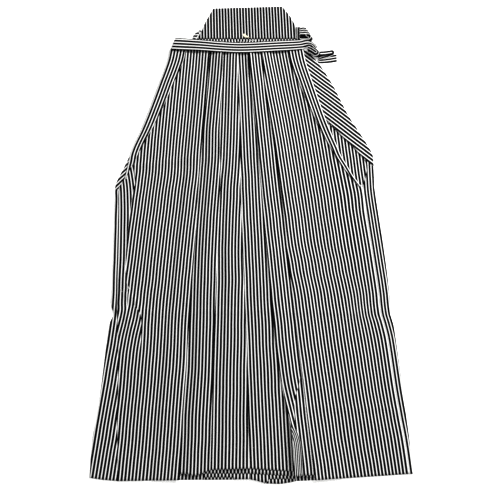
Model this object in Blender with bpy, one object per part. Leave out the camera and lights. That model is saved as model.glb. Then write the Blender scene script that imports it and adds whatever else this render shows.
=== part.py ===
"""Striped hakama trousers, laid flat with their front up.

Script units are metres, and the tables are in millimetres. +Y points to the back board, +X to
the wearer's left leg and +Z up. The origin lies under the middle of the garment, on the surface
that the back rests on. Every cloth piece is a wall: a grid of points on the middle of the cloth,
given thickness on both sides. The pleats are real folds of that wall, three layers deep.
"""
import math
from collections import namedtuple

import bmesh
import bpy
import numpy as np

MM = 0.001

# Cloth and stacking, in millimetres
CLOTH = 1.0          # thickness of one cloth wall
GAP = 0.3            # clearance between pieces and between folded layers
PITCH = CLOTH + GAP  # height from one layer to the next
REST_GAP = 0.6       # the front lies this far above the back, where nothing is between them
FLOOR_LAYER = CLOTH / 2
TURN_LAYER = FLOOR_LAYER + PITCH
FRONT_LAYER = FLOOR_LAYER + CLOTH + REST_GAP
FOLD_REACH = 0.7     # a fold's outer face stands this far past the middle of its bend

# Rows down the garment. back_* are the outer edges of the back, turn_* the inner edges of its
# sides where they are turned to the front, and front_* the edges of the front. Below the side
# openings the turned side meets the front at the side seam.
Level = namedtuple("Level", "y back_right turn_right front_right front_left turn_left back_left")
LEVELS = [
    Level(422.4, -125, -115, -180, 114, 78, 106),
    Level(372, -149, -136, -188, 122, 84, 149),
    Level(315, -177, -163, -205, 138, 104, 181),
    Level(243, -213, -198, -227, 159, 150, 212),
    Level(207, -232, -216, -239, 171, 185, 232),
    Level(172, -250, -231, -253, 184, 216, 251),
    Level(149, -261, -240, -260, 192, 236, 261),
    Level(126, -270.5, -251, -261, 204, 248.5, 262),
    Level(101, -281.2, -269, -267, 217, 244, 262),
    Level(88, -286.6, -273.2, -272.5, 225.5, 240.3, 261.6),
    Level(76, -289, -280.3, -280, 236, 236.3, 261.4),
    Level(14, -288.4, -278.3, -278, 241, 241.3, 267.6),
    Level(-93, -285.6, -274.3, -274, 252, 252.3, 277),
    Level(-150, -284.6, -272.3, -272, 257.5, 257.8, 280.4),
    Level(-176, -284, -271.3, -271, 258.5, 258.8, 281),
    Level(-194, -277.8, -269.6, -269.3, 260, 260.3, 280),
    Level(-212, -284.3, -268.6, -268.3, 264.5, 264.8, 284.6),
    Level(-244, -287.6, -265.8, -265.5, 270.4, 270.7, 288),
    Level(-337, -294, -260.3, -260, 279.5, 279.8, 295.5),
    Level(-393, -299.6, -259.6, -259.3, 286.5, 286.8, 299.6),
    Level(-436, -305, -256.3, -256, 292.3, 292.6, 303),
    Level(-499, -306, -252.3, -252, 298, 298.3, 306),
]
OPENING_FOOT_RIGHT = 76   # the front comes down to the back's level by here
OPENING_CLEAR_RIGHT = 101  # and stays raised above the turned side down to here
OPENING_FOOT_LEFT = 172
OPENING_CLEAR_LEFT = 207
SEAM_MARGIN = 8            # the raised part of the front reaches this far past the turned side
SEAM_SLOPE = 26

# Fold edges of the five front pleats. Pleats 1 to 3 open to the wearer's right, 4 and 5 to the left.
Fold = namedtuple("Fold", "y fold_1 fold_2 fold_3 fold_4 fold_5")
FOLDS = [
    Fold(422.4, -92, -63, -30, -7, 24),
    Fold(315, -96, -64, -28, -1, 30),
    Fold(207, -104, -68, -24, 10, 45),
    Fold(76, -111, -65, -22, 21, 61),
    Fold(-93, -118, -70, -16, 34, 76),
    Fold(-216, -124, -73, -10, 44, 89),
    Fold(-337, -130, -75, -7, 60, 102),
    Fold(-499, -135, -77, -3, 78, 120),
]
# Depth of each pleat, at the waist and at the hem
Pleat = namedtuple("Pleat", "at_waist at_hem")
PLEAT_DEPTHS = {
    "fold_1": Pleat(15, 42),
    "fold_2": Pleat(14, 38),
    "fold_3": Pleat(14, 46),
    "fold_4": Pleat(13, 24),
    "fold_5": Pleat(14, 44),
}
PLEAT_SLOPE = Pleat(8, 13)  # length over which a strip climbs on to its pleat
CLIMB_CLEAR = 1.5           # it is all the way up this far before the pleat's hidden fold
WIDE_STRIP_POINTS = 7       # points over the outer strip of each leg
STRIP_POINTS = 3            # points over each strip between two fold edges

# Hem height of each strip, at its right and its left end in the wearer's frame
Hem = namedtuple("Hem", "at_start at_end")
HEMS = {
    "front_1": Hem(-510, -508),
    "front_2": Hem(-497, -490),
    "front_3": Hem(-488.5, -485.5),
    "front_4": Hem(-485.5, -493.5),
    "front_5": Hem(-501, -499),
    "front_6": Hem(-508, -497),
}
HemPoint = namedtuple("HemPoint", "x y")
BACK_HEM = [
    HemPoint(-306, -504),
    HemPoint(-282, -507.6),
    HemPoint(-251, -510),
    HemPoint(-135, -508),
    HemPoint(-10, -507),
    HemPoint(9, -509),
    HemPoint(24, -514),
    HemPoint(50, -515),
    HemPoint(58, -515),
    HemPoint(84, -510),
    HemPoint(122, -508.5),
    HemPoint(306, -497),
]

# Back pleats and gusset
CENTRE_AT_WAIST, CENTRE_AT_HEM = -18, -3
BACK_FOLD_OFF = Pleat(5, 27)      # back fold edges, measured from the centre seam
BACK_FOLD_DEPTH = Pleat(22, 60)
STACK_MARGIN, STACK_SLOPE = 12, 44
GUSSET_TOP, GUSSET_HEM = -120, -502
GUSSET_EDGE = [HemPoint(-130, -501), HemPoint(-8, -499), HemPoint(67, -505), HemPoint(125, -505)]
GUSSET_STEPS = 6
GUSSET_HALF = Pleat(22, 125)
GUSSET_MARGIN, GUSSET_SLOPE = 10, 40
GUSSET_CLEAR, GUSSET_FLAT = -93, 14  # the front is raised over the gusset below the first

# The narrow slanting pleats that edge the front's openings, by their inner edge
SidePleat = namedtuple("SidePleat", "y inner outer")
SIDE_PLEAT_RIGHT = [
    SidePleat(404, -147, -183),
    SidePleat(372, -152, -188),
    SidePleat(315, -173, -205),
    SidePleat(243, -200, -227),
    SidePleat(207, -216, -239),
    SidePleat(172, -233, -253),
    SidePleat(149, -245, -260),
    SidePleat(130, -256, -261),
]
SIDE_PLEAT_LEFT = [
    SidePleat(404, 82, 117),
    SidePleat(372, 87, 122),
    SidePleat(315, 107, 138),
    SidePleat(243, 135, 159),
    SidePleat(207, 151, 171),
    SidePleat(172, 168, 184),
    SidePleat(149, 179, 192),
    SidePleat(126, 193, 204),
    SidePleat(101, 210, 217),
    SidePleat(86, 222, 227),
]

# Waistband and its left end, along its middle. spread is half its width.
Band = namedtuple("Band", "x y z spread heading")
BAND_CLOTH = 2.0
WAISTBAND = [
    Band(-135, 412.5, 6.5, 14.2, 0),
    Band(-158, 413.2, 6.5, 14.3, 0),
    Band(-171, 413.5, 6.5, 14.4, 0),
    Band(-174, 413.5, 7.65, 14.4, 0),
    Band(-171, 413.5, 8.8, 14.4, 0),
    Band(-147, 412.5, 8.9, 14.2, 0),
    Band(-112, 410.3, 9.5, 14.0, 0),
    Band(-72, 408, 9.6, 13.5, 0),
    Band(-30, 406.6, 9.6, 13.3, 0),
    Band(10, 407.5, 9.4, 13.3, 2),
    Band(55, 410, 8.4, 13.3, 3),
    Band(93, 412.5, 7.0, 13.1, 3),
    Band(112, 413.8, 6.6, 12.6, 0),
    Band(121, 415.4, 7.2, 10.5, -6),
    Band(131, 415.5, 8.0, 6.5, -22),
    Band(139, 410.8, 8.8, 5.4, -45),
    Band(144, 403.6, 9.0, 5.0, -62),
]

# Free end of the left front tie, folded three times beyond the knot
Ribbon = namedtuple("Ribbon", "near_x near_y far_x far_y z")
TAIL_CLOTH = 1.2
TAIL_PITCH = TAIL_CLOTH + GAP
TAIL_EDGES = [
    Ribbon(154.2, 396, 154.2, 386, 5.2),
    Ribbon(165, 398.5, 165, 385, 3.5),
    Ribbon(176, 400.5, 176, 384, 3),
    Ribbon(187, 401, 188, 382, 3),
    Ribbon(189, 400.6, 190, 381.6, 2.5),
    Ribbon(187, 400, 188, 381, 2),
    Ribbon(173, 394, 173, 375, 2),
    Ribbon(160, 389, 159, 372, 2),
    Ribbon(158, 388.5, 157, 371.5, 1.5),
    Ribbon(160, 388, 159, 371, 1),
    Ribbon(175, 390, 175, 371, 1),
    Ribbon(192, 391.5, 192, 372.5, 1),
]
TAIL_FLOOR = 0.9

# Back board, as corners of its outline
Corner = namedtuple("Corner", "x y")
BOARD_THICK = 4.5
BOARD_BEVEL = 1.2
BOARD = [
    Corner(-123.4, 431.3),
    Corner(-112.1, 452.6),
    Corner(-105.8, 470.7),
    Corner(-86.8, 510),
    Corner(71.2, 515),
    Corner(89.8, 488.9),
    Corner(102.9, 460.3),
    Corner(105.8, 431.3),
]
BOARD_STRIP_THICK = 3.0
BOARD_STRIP = [
    Corner(-123.4, 423.3),
    Corner(-123.4, 431),
    Corner(105.8, 431),
    Corner(105.8, 423.3),
]

KNOT_CENTRE = (144.5, 391.5, 9.2)
KNOT_RADII = (9.5, 11.0, 6.2)
SPATULA_THICK = 1.6
SPATULA = [
    Corner(-18, 440.5),
    Corner(-14.5, 441.5),
    Corner(-2.5, 432.5),
    Corner(-2.5, 432),
    Corner(-20, 432),
]

# Back ties, each a folded bunch: rings along its middle, with a half width and a half height
Ring = namedtuple("Ring", "x y z wide high heading")
RING_SIDES = 10
TIE_LEFT = [
    Ring(105.7, 446, 4.0, 9.0, 3.0, 0),
    Ring(113, 446.5, 5.5, 12.5, 5.2, 0),
    Ring(120, 445, 6.2, 13.0, 6.0, -8),
    Ring(128, 440.5, 6.0, 10.0, 5.8, -35),
    Ring(134, 433.5, 5.0, 6.5, 4.8, -60),
]
TIE_RIGHT = [
    Ring(-115.2, 452.3, 2.4, 2.2, 1.6, 242),
    Ring(-121.6, 445.6, 2.8, 3.6, 2.4, 242),
    Ring(-126.4, 438, 2.9, 4.6, 2.5, 244),
    Ring(-129, 431.5, 2.5, 4.0, 1.9, 255),
]


def along(table, y, column):
    """The value of a table's column at height y, on a smooth curve through its rows."""
    rows = sorted(table, key=lambda row: row.y)
    if y <= rows[0].y:
        return getattr(rows[0], column)
    if y >= rows[-1].y:
        return getattr(rows[-1], column)
    upper = next(i for i, row in enumerate(rows) if row.y >= y)
    picked = [rows[max(0, min(len(rows) - 1, i))] for i in range(upper - 2, upper + 2)]
    before, low, high, after = [getattr(row, column) for row in picked]
    ys = [row.y for row in picked]
    span = ys[2] - ys[1]
    slope_low = (high - before) / max(ys[2] - ys[0], 1) * span
    slope_high = (after - low) / max(ys[3] - ys[1], 1) * span
    t = (y - ys[1]) / span
    return (
        low * (2 * t**3 - 3 * t**2 + 1)
        + high * (3 * t**2 - 2 * t**3)
        + slope_low * (t**3 - 2 * t**2 + t)
        + slope_high * (t**3 - t**2)
    )


def grown(sizes, y):
    """A size that grows evenly from the waist to the hem."""
    top, foot = LEVELS[0].y, LEVELS[-1].y
    share = min(1.0, max(0.0, (top - y) / (top - foot)))
    return sizes.at_waist + (sizes.at_hem - sizes.at_waist) * share


def centre(y):
    """x of the centre seam."""
    return grown(Pleat(CENTRE_AT_WAIST, CENTRE_AT_HEM), y)


def plateau(distance, half, slope):
    """1 within half of the middle, falling evenly to 0 over slope."""
    return min(1.0, max(0.0, (half + slope - distance) / slope))


def stack_rise(x, y):
    """How far the back's pleats lift what lies on them."""
    half = grown(BACK_FOLD_OFF, y) + grown(BACK_FOLD_DEPTH, y)
    return 2 * PITCH * plateau(abs(x - centre(y)), half + STACK_MARGIN, STACK_SLOPE)


def gusset_half(y):
    share = min(1.0, max(0.0, (GUSSET_TOP - y) / (GUSSET_TOP - GUSSET_HEM)))
    return GUSSET_HALF.at_waist + (GUSSET_HALF.at_hem - GUSSET_HALF.at_waist) * share


def gusset_rise(x, y):
    """How far the gusset lifts the front."""
    down = plateau(y - GUSSET_CLEAR, 0, GUSSET_FLAT - GUSSET_CLEAR)
    return PITCH * down * plateau(abs(x - centre(y)), gusset_half(y) + GUSSET_MARGIN, GUSSET_SLOPE)


def side_rise(x, y):
    """How far the turned sides of the back lift the front along its openings."""
    right = plateau(OPENING_CLEAR_RIGHT - y, 0, OPENING_CLEAR_RIGHT - OPENING_FOOT_RIGHT)
    left = plateau(OPENING_CLEAR_LEFT - y, 0, OPENING_CLEAR_LEFT - OPENING_FOOT_LEFT)
    from_right = x - along(LEVELS, y, "turn_right")
    from_left = along(LEVELS, y, "turn_left") - x
    return PITCH * max(
        right * plateau(from_right, SEAM_MARGIN, SEAM_SLOPE),
        left * plateau(from_left, SEAM_MARGIN, SEAM_SLOPE),
    )


def front_height(x, y):
    """Middle of the front's lowest layer."""
    return FRONT_LAYER + stack_rise(x, y) + gusset_rise(x, y) + side_rise(x, y)


def knife_pleat(fold, depth, opens):
    """Points of a three layer pleat whose visible fold edge is at fold.

    Each point is (x, layers above the lowest). opens is 1 where the strip on top comes from the
    wearer's right and -1 where it comes from the left; the points run from the top strip down.
    """
    back = fold - opens * depth
    bend = opens * PITCH / 2
    tip = fold - opens * FOLD_REACH
    return [
        (back - opens * CLIMB_CLEAR, 2),
        ((back + fold) / 2, 2),
        (tip - bend, 2),
        (tip, 1.5),
        (tip - bend, 1),
        ((back + fold) / 2, 1),
        (back + bend, 1),
        (back, 0.5),
        (back + bend, 0),
        ((back + fold) / 2, 0),
        (fold, 0),
    ]


def spread(start, end, count):
    """count points from start to end at the lowest layer."""
    return [(start + (end - start) * i / (count - 1), 0) for i in range(count)]


def right_front_path(y):
    """Section of the right leg's front, from its side edge to the centre."""
    path, strips = [], []
    start = along(LEVELS, y, "front_right")
    for number, count in ((1, WIDE_STRIP_POINTS), (2, STRIP_POINTS), (3, STRIP_POINTS)):
        name = f"fold_{number}"
        fold, depth = along(FOLDS, y, name), grown(PLEAT_DEPTHS[name], y)
        climb = fold - depth - CLIMB_CLEAR - grown(PLEAT_SLOPE, y)
        points = spread(start, climb, count)
        points += knife_pleat(fold, depth, 1)
        if number > 1:
            points = points[1:]
        if number == 3:
            points = points[:-4]  # it ends at the hidden edge, over the left leg's front
        path += points
        strips += [number] * len(points)
        start = fold
    return path, strips


def left_front_path(y):
    """Section of the left leg's front, from its hidden centre edge to its side edge."""
    fold, depth = along(FOLDS, y, "fold_3"), grown(PLEAT_DEPTHS["fold_3"], y)
    first = [(fold - depth + FOLD_REACH, 0), (fold - depth / 2, 0), (fold, 0)]
    end = along(LEVELS, y, "front_left")
    path, strips = [], []
    for number, count in ((5, WIDE_STRIP_POINTS), (4, STRIP_POINTS)):
        name = f"fold_{number}"
        fold, depth = along(FOLDS, y, name), grown(PLEAT_DEPTHS[name], y)
        climb = fold + depth + CLIMB_CLEAR + grown(PLEAT_SLOPE, y)
        points = spread(end, climb, count) + knife_pleat(fold, depth, -1)
        if number == 4:
            points = points[1:]
        path += points
        strips += [number + 1] * len(points)
        end = fold
    path += first[::-1]
    strips += [4] * len(first)
    return path[::-1], strips[::-1]


def hem_height(name, share):
    hem = HEMS[name]
    return hem.at_start + (hem.at_end - hem.at_start) * share


def strip_shares(path, strips):
    """How far along its own strip each point is, from 0 to 1."""
    shares = []
    for (x, _), strip in zip(path, strips):
        xs = [p[0] for p, s in zip(path, strips) if s == strip]
        shares.append((x - min(xs)) / (max(xs) - min(xs)))
    return shares


def hem_point(table, x):
    """Height of a hem at x."""
    return float(np.interp(x, [point.x for point in table], [point.y for point in table]))


def front_rows(section):
    rows = []
    for level in LEVELS:
        path, strips = section(level.y)
        shares = strip_shares(path, strips)
        row = []
        for (x, layers), strip, share in zip(path, strips, shares):
            y = hem_height(f"front_{strip}", share) if level is LEVELS[-1] else level.y
            row.append((x, y, front_height(x, level.y) + layers * PITCH))
        rows.append(row)
    return rows


def back_rows(side, outer, turn):
    """Sections of one leg's back, from its turned side round to the centre seam.

    side is -1 for the wearer's right leg and 1 for the left.
    """
    rows = []
    for level in LEVELS:
        y = level.y
        middle = centre(y)
        edge = getattr(level, outer) - side * FOLD_REACH
        turned = getattr(level, turn)
        fold = middle + side * grown(BACK_FOLD_OFF, y)
        hidden = fold + side * grown(BACK_FOLD_DEPTH, y)
        bend = side * PITCH / 2
        path = [(turned, 1), ((turned + edge) / 2, 1), (edge - bend, 1), (edge, 0.5)]
        path += [(x, 0) for x, _ in spread(edge - bend, hidden, 5)]
        path += [
            ((hidden + fold) / 2, 0),
            (fold + bend, 0),
            (fold, 0.5),
            (fold + bend, 1),
            ((hidden + fold) / 2, 1),
            (hidden - bend, 1),
            (hidden, 1.5),
            (hidden - bend, 2),
            ((hidden + fold) / 2, 2),
            (fold, 2),
            (middle + side * GAP / 2, 2),
        ]
        row = []
        for x, layers in path:
            if level is LEVELS[-1]:
                y = hem_point(BACK_HEM, x)
            row.append((x, y, FLOOR_LAYER + layers * PITCH))
        rows.append(row)
    return rows


def gusset_rows():
    """Flat sections of the panel between the legs, which follows the back's pleats."""
    rows = []
    for step in range(GUSSET_STEPS + 1):
        y = GUSSET_TOP + (GUSSET_HEM - GUSSET_TOP) * step / GUSSET_STEPS
        middle, half = centre(y), gusset_half(y)
        stack = grown(BACK_FOLD_OFF, y) + grown(BACK_FOLD_DEPTH, y) + STACK_MARGIN
        inner = min(stack, half * 0.7)
        outer = min(stack + STACK_SLOPE, half * 0.9)
        row = []
        for offset in (-half, -outer, -inner, 0, inner, outer, half):
            x = middle + offset
            foot = hem_point(GUSSET_EDGE, x) if step == GUSSET_STEPS else y
            row.append((x, foot, TURN_LAYER + stack_rise(x, y)))
        rows.append(row)
    return rows


def side_pleat_rows(table):
    """The slanting pleat lies on the front, so it takes the front's height."""
    rows = []
    for row in table:
        xs = [row.inner + (row.outer - row.inner) * share for share in (0, 0.5, 1)]
        rows.append([(x, row.y, front_height(x, row.y) + PITCH) for x in xs])
    return rows


def band_rows():
    """The waistband as three lines along it: lower edge, middle and upper edge."""
    rows = []
    for share in (-1, 0, 1):
        row = []
        for band in WAISTBAND:
            angle = math.radians(band.heading)
            across = (-math.sin(angle), math.cos(angle))
            row.append(
                (
                    band.x + across[0] * band.spread * share,
                    band.y + across[1] * band.spread * share,
                    band.z,
                )
            )
        rows.append(row)
    return rows


def tail_rows():
    """The folded free end of the tie, as its two edges and the line between them."""
    rows = []
    for share in (0, 0.5, 1):
        row = []
        for fold in TAIL_EDGES:
            x = fold.near_x + (fold.far_x - fold.near_x) * share
            y = fold.near_y + (fold.far_y - fold.near_y) * share
            row.append((x, y, TAIL_FLOOR + (fold.z - 1) * TAIL_PITCH))
        rows.append(row)
    return rows


def vertex_normals(grid):
    """Unit normals at the grid's points, and the factor that keeps a bent wall's thickness."""
    quads = np.cross(
        grid[1:, 1:] - grid[:-1, :-1],
        grid[:-1, 1:] - grid[1:, :-1],
    )
    quads /= np.linalg.norm(quads, axis=2, keepdims=True)
    rows, columns = grid.shape[:2]
    total = np.zeros_like(grid)
    around = [[] for _ in range(rows * columns)]
    for i in range(rows - 1):
        for j in range(columns - 1):
            for di, dj in ((0, 0), (0, 1), (1, 0), (1, 1)):
                total[i + di, j + dj] += quads[i, j]
                around[(i + di) * columns + j + dj].append(quads[i, j])
    total /= np.linalg.norm(total, axis=2, keepdims=True)
    factors = np.ones((rows, columns, 1))
    for i in range(rows):
        for j in range(columns):
            cosines = [float(total[i, j] @ quad) for quad in around[i * columns + j]]
            factors[i, j] = 1 / max(0.6, min(cosines))
    return total, factors


def cloth(color):
    material = bpy.data.materials.new("cloth")
    material.use_nodes = True
    shader = material.node_tree.nodes["Principled BSDF"]
    shader.inputs["Base Color"].default_value = (*color, 1)
    shader.inputs["Roughness"].default_value = 0.75
    shader.inputs["Metallic"].default_value = 0
    return material


def add_object(name, mesh_maker, material):
    mesh = bpy.data.meshes.new(name)
    work = bmesh.new()
    mesh_maker(work)
    bmesh.ops.triangulate(work, faces=work.faces)
    bmesh.ops.recalc_face_normals(work, faces=work.faces)
    work.to_mesh(mesh)
    work.free()
    made = bpy.data.objects.new(name, mesh)
    made.data.materials.append(material)
    bpy.context.collection.objects.link(made)
    return made


def wall(name, rows, thickness, material):
    """A closed wall of even thickness round a grid of middle points, in millimetres."""
    grid = np.array(rows, dtype=float)
    normals, factors = vertex_normals(grid)
    sides = [grid + normals * factors * thickness / 2, grid - normals * factors * thickness / 2]
    count, length = grid.shape[:2]

    def build(work):
        top, under = [
            [[work.verts.new(side[i, j] * MM) for j in range(length)] for i in range(count)]
            for side in sides
        ]
        for i in range(count - 1):
            for j in range(length - 1):
                for face in (top, under):
                    work.faces.new([face[i][j], face[i][j + 1], face[i + 1][j + 1], face[i + 1][j]])
        rim = [(0, j) for j in range(length)]
        rim += [(i, length - 1) for i in range(1, count)]
        rim += [(count - 1, j) for j in range(length - 2, -1, -1)]
        rim += [(i, 0) for i in range(count - 2, 0, -1)]
        for (i, j), (k, m) in zip(rim, rim[1:] + rim[:1]):
            work.faces.new([top[i][j], top[k][m], under[k][m], under[i][j]])

    return add_object(name, build, material)


def plate(name, corners, bottom, thickness, bevel, material):
    """A flat plate with its outline at corners and its edges eased."""
    def build(work):
        lower = [work.verts.new((c.x * MM, c.y * MM, bottom * MM)) for c in corners]
        face = work.faces.new(lower)
        grown_face = bmesh.ops.extrude_face_region(work, geom=[face])
        raised = [v for v in grown_face["geom"] if isinstance(v, bmesh.types.BMVert)]
        bmesh.ops.translate(work, verts=raised, vec=(0, 0, thickness * MM))
        if bevel:
            edges = [e for e in work.edges if all(v in raised for v in e.verts)]
            bmesh.ops.bevel(work, geom=edges, offset=bevel * MM, segments=2, affect="EDGES")

    return add_object(name, build, material)


def bunch(name, rings, material):
    """A folded tie drawn together: a rounded body through its rings, closed at both ends."""
    def build(work):
        loops = []
        for ring in rings:
            heading = math.radians(ring.heading)
            across = (-math.sin(heading), math.cos(heading))
            loop = []
            for i in range(RING_SIDES):
                turn = 2 * math.pi * i / RING_SIDES
                side, lift = ring.wide * math.cos(turn), ring.high * math.sin(turn)
                point = (ring.x + across[0] * side, ring.y + across[1] * side, ring.z + lift)
                loop.append(work.verts.new([value * MM for value in point]))
            loops.append(loop)
        for first, second in zip(loops, loops[1:]):
            for i in range(RING_SIDES):
                j = (i + 1) % RING_SIDES
                work.faces.new([first[i], first[j], second[j], second[i]])
        work.faces.new(loops[0])
        work.faces.new(loops[-1][::-1])

    return add_object(name, build, material)


def knot(material):
    def build(work):
        bmesh.ops.create_icosphere(work, subdivisions=3, radius=1)
        for vert in work.verts:
            for axis in range(3):
                vert.co[axis] = (KNOT_CENTRE[axis] + vert.co[axis] * KNOT_RADII[axis]) * MM

    return add_object("front_tie_knot", build, material)


def main():
    for old in list(bpy.data.objects):
        bpy.data.objects.remove(old, do_unlink=True)
    striped = cloth((0.42, 0.42, 0.42))
    cream = cloth((0.83, 0.79, 0.66))

    wall("back_leg_right", back_rows(-1, "back_right", "turn_right"), CLOTH, striped)
    wall("back_leg_left", back_rows(1, "back_left", "turn_left"), CLOTH, striped)
    wall("crotch_gusset", gusset_rows(), CLOTH, striped)
    wall("front_leg_right", front_rows(right_front_path), CLOTH, striped)
    wall("front_leg_left", front_rows(left_front_path), CLOTH, striped)
    wall("front_side_pleat_right", side_pleat_rows(SIDE_PLEAT_RIGHT), CLOTH, striped)
    wall("front_side_pleat_left", side_pleat_rows(SIDE_PLEAT_LEFT), CLOTH, striped)
    wall("front_waistband", band_rows(), BAND_CLOTH, striped)
    wall("front_tie_tail", tail_rows(), TAIL_CLOTH, striped)
    knot(striped)
    plate("back_board", BOARD, 0, BOARD_THICK, BOARD_BEVEL, striped)
    plate("back_board_strip", BOARD_STRIP, 0, BOARD_STRIP_THICK, 0, striped)
    plate("waist_spatula", SPATULA, BOARD_THICK + GAP, SPATULA_THICK, 0, cream)
    bunch("back_tie_left", TIE_LEFT, striped)
    bunch("back_tie_right", TIE_RIGHT, striped)


main()
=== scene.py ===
"""Striped hakama trousers laid flat with their front up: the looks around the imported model.

The tables are in millimetres, in the garment's own frame: +Y points to the back board and +X to
the wearer's left leg, which is on the right of the picture. Every cloth piece is a thin closed
shell on the form of its solid. Its UV map is the cloth itself in metres: U runs across the
stripes and V along them, so each stripe follows the folds.
"""
import math
from collections import namedtuple
from functools import lru_cache, partial

import bmesh
import bpy
import numpy as np
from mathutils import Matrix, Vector


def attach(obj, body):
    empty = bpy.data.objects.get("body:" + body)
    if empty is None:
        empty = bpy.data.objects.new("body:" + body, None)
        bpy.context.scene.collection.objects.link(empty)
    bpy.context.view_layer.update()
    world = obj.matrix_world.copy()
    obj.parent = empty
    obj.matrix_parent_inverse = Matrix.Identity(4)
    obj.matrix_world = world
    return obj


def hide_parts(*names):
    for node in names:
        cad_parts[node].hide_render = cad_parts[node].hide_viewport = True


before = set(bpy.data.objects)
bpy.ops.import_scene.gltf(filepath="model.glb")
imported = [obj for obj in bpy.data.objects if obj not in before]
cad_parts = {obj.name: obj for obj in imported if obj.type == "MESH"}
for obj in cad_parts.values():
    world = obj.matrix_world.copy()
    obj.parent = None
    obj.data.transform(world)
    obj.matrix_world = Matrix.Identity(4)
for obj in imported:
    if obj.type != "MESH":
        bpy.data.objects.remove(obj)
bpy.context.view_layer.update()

MM = 0.001
REPEAT = 6.7                # one black and one white stripe
HALF_REPEAT = REPEAT / 2
WHITE_START, WHITE_END = 2.25, 4.45  # where a white stripe lies within a repeat
THREAD = 0.6                # thickness of the shown cloth
FLAP_THREAD = 0.4
CLOTH, GAP = 1.0, 0.3       # the solids' walls, and the gap between their layers
PITCH = CLOTH + GAP
BEND = PITCH / 2            # radius of a fold's bend
REST_GAP = 0.6              # between the front and the back, where nothing else is
FLOOR_LAYER = CLOTH / 2
TURN_LAYER = FLOOR_LAYER + PITCH
FRONT_LAYER = FLOOR_LAYER + CLOTH + REST_GAP
FOLD_REACH = 0.7            # how far a fold's edge is inside its fold line
CLIMB_CLEAR = 1.5           # a strip is all the way up this far before a pleat's hidden fold
ROWS = 200
TOP_ROW, FOOT_ROW, HEM_START = 422.4, -499.0, -436.0
HEM_DEPTH = 38              # the hem is sewn this far above its edge
STEP = 2.0                  # between the heights at which a lean is added up


def table(columns, *rows):
    """Rows of numbers with named columns."""
    row = namedtuple("Row", columns)
    return [row(*values) for values in rows]


# The garment's sections, as in its solids
LEVELS = table(
    "y back_right turn_right front_right front_left turn_left back_left",
    (422.4, -125, -115, -180, 114, 78, 106),
    (372, -149, -136, -188, 122, 84, 149),
    (315, -177, -163, -205, 138, 104, 181),
    (243, -213, -198, -227, 159, 150, 212),
    (207, -232, -216, -239, 171, 185, 232),
    (172, -250, -231, -253, 184, 216, 251),
    (149, -261, -240, -260, 192, 236, 261),
    (126, -270.5, -251, -261, 204, 248.5, 262),
    (101, -281.2, -269, -267, 217, 244, 262),
    (88, -286.6, -273.2, -272.5, 225.5, 240.3, 261.6),
    (76, -289, -280.3, -280, 236, 236.3, 261.4),
    (14, -288.4, -278.3, -278, 241, 241.3, 267.6),
    (-93, -285.6, -274.3, -274, 252, 252.3, 277),
    (-150, -284.6, -272.3, -272, 257.5, 257.8, 280.4),
    (-176, -284, -271.3, -271, 258.5, 258.8, 281),
    (-194, -277.8, -269.6, -269.3, 260, 260.3, 280),
    (-212, -284.3, -268.6, -268.3, 264.5, 264.8, 284.6),
    (-244, -287.6, -265.8, -265.5, 270.4, 270.7, 288),
    (-337, -294, -260.3, -260, 279.5, 279.8, 295.5),
    (-393, -299.6, -259.6, -259.3, 286.5, 286.8, 299.6),
    (-436, -305, -256.3, -256, 292.3, 292.6, 303),
    (-499, -306, -252.3, -252, 298, 298.3, 306),
)
OPENING_CORNER = 76
OPENING_FOOT_RIGHT, OPENING_CLEAR_RIGHT = 76, 101
OPENING_FOOT_LEFT, OPENING_CLEAR_LEFT = 172, 207
SEAM_MARGIN, SEAM_SLOPE = 8, 26
FOLDS = table(
    "y fold_1 fold_2 fold_3 fold_4 fold_5",
    (422.4, -92, -63, -30, -7, 24),
    (315, -96, -64, -28, -1, 30),
    (207, -104, -68, -24, 10, 45),
    (76, -111, -65, -22, 21, 61),
    (-93, -118, -70, -16, 34, 76),
    (-216, -124, -73, -10, 44, 89),
    (-337, -130, -75, -7, 59, 102),
    (-376, -131.2, -75.5, -6, 67, 106.3),
    (-415, -132.4, -76, -5.1, 75, 110.7),
    (-499, -135, -77, -3, 79.5, 120),
)
Grown = namedtuple("Grown", "at_waist at_hem")
PLEAT_DEPTHS = {
    "fold_1": Grown(15, 42),
    "fold_2": Grown(14, 38),
    "fold_3": Grown(14, 46),
    "fold_4": Grown(13, 24),
    "fold_5": Grown(14, 44),
}
PLEAT_SLOPE = Grown(8, 13)
CENTRE = Grown(-18, -3)
BACK_FOLD_OFF, BACK_FOLD_DEPTH = Grown(5, 27), Grown(22, 60)
STACK_MARGIN, STACK_SLOPE = 12, 44
GUSSET_TOP, GUSSET_HEM = -120, -502
GUSSET_HALF = Grown(22, 125)
GUSSET_MARGIN, GUSSET_SLOPE = 10, 40
GUSSET_CLEAR, GUSSET_FLAT = -93, 14
HEMS = {
    "s0": table("x y", (-252, -510), (-135, -508)),
    "s1": table("x y", (-134, -496.5), (-111, -496.9), (-109.5, -501.5), (-78, -489.9)),
    "s2": table("x y", (-77, -489.4), (-3, -486.8)),
    "s3": table("x y", (-3, -486.8), (30, -489.2), (77, -492)),
    "s4": table("x y", (79, -500.5), (99, -499.3), (120, -498.6)),
    "s5": table("x y", (120, -508), (298, -497)),
}
BACK_HEM = table(
    "x y",
    (-306, -504), (-282, -507.6), (-251, -510), (-135, -508), (-10, -507), (9, -509),
    (24, -514), (50, -515), (58, -515), (84, -510), (122, -508.5), (306, -497),
)
GUSSET_EDGE = table(
    "x y", (-130, -498), (-78, -496), (-8, -496), (16, -497), (67, -500), (125, -504)
)
# Hem of the back's upper pleat layers, which show above the lowest one
BACK_PLEAT_HEM = table(
    "x y",
    (-135, -503.8), (-78, -502.9), (-36, -503.2), (-31, -506.8), (-3, -506.6), (-2, -507),
    (9, -509), (24, -513), (28, -513.5), (32, -506), (70, -505.5), (122, -506),
)

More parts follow.
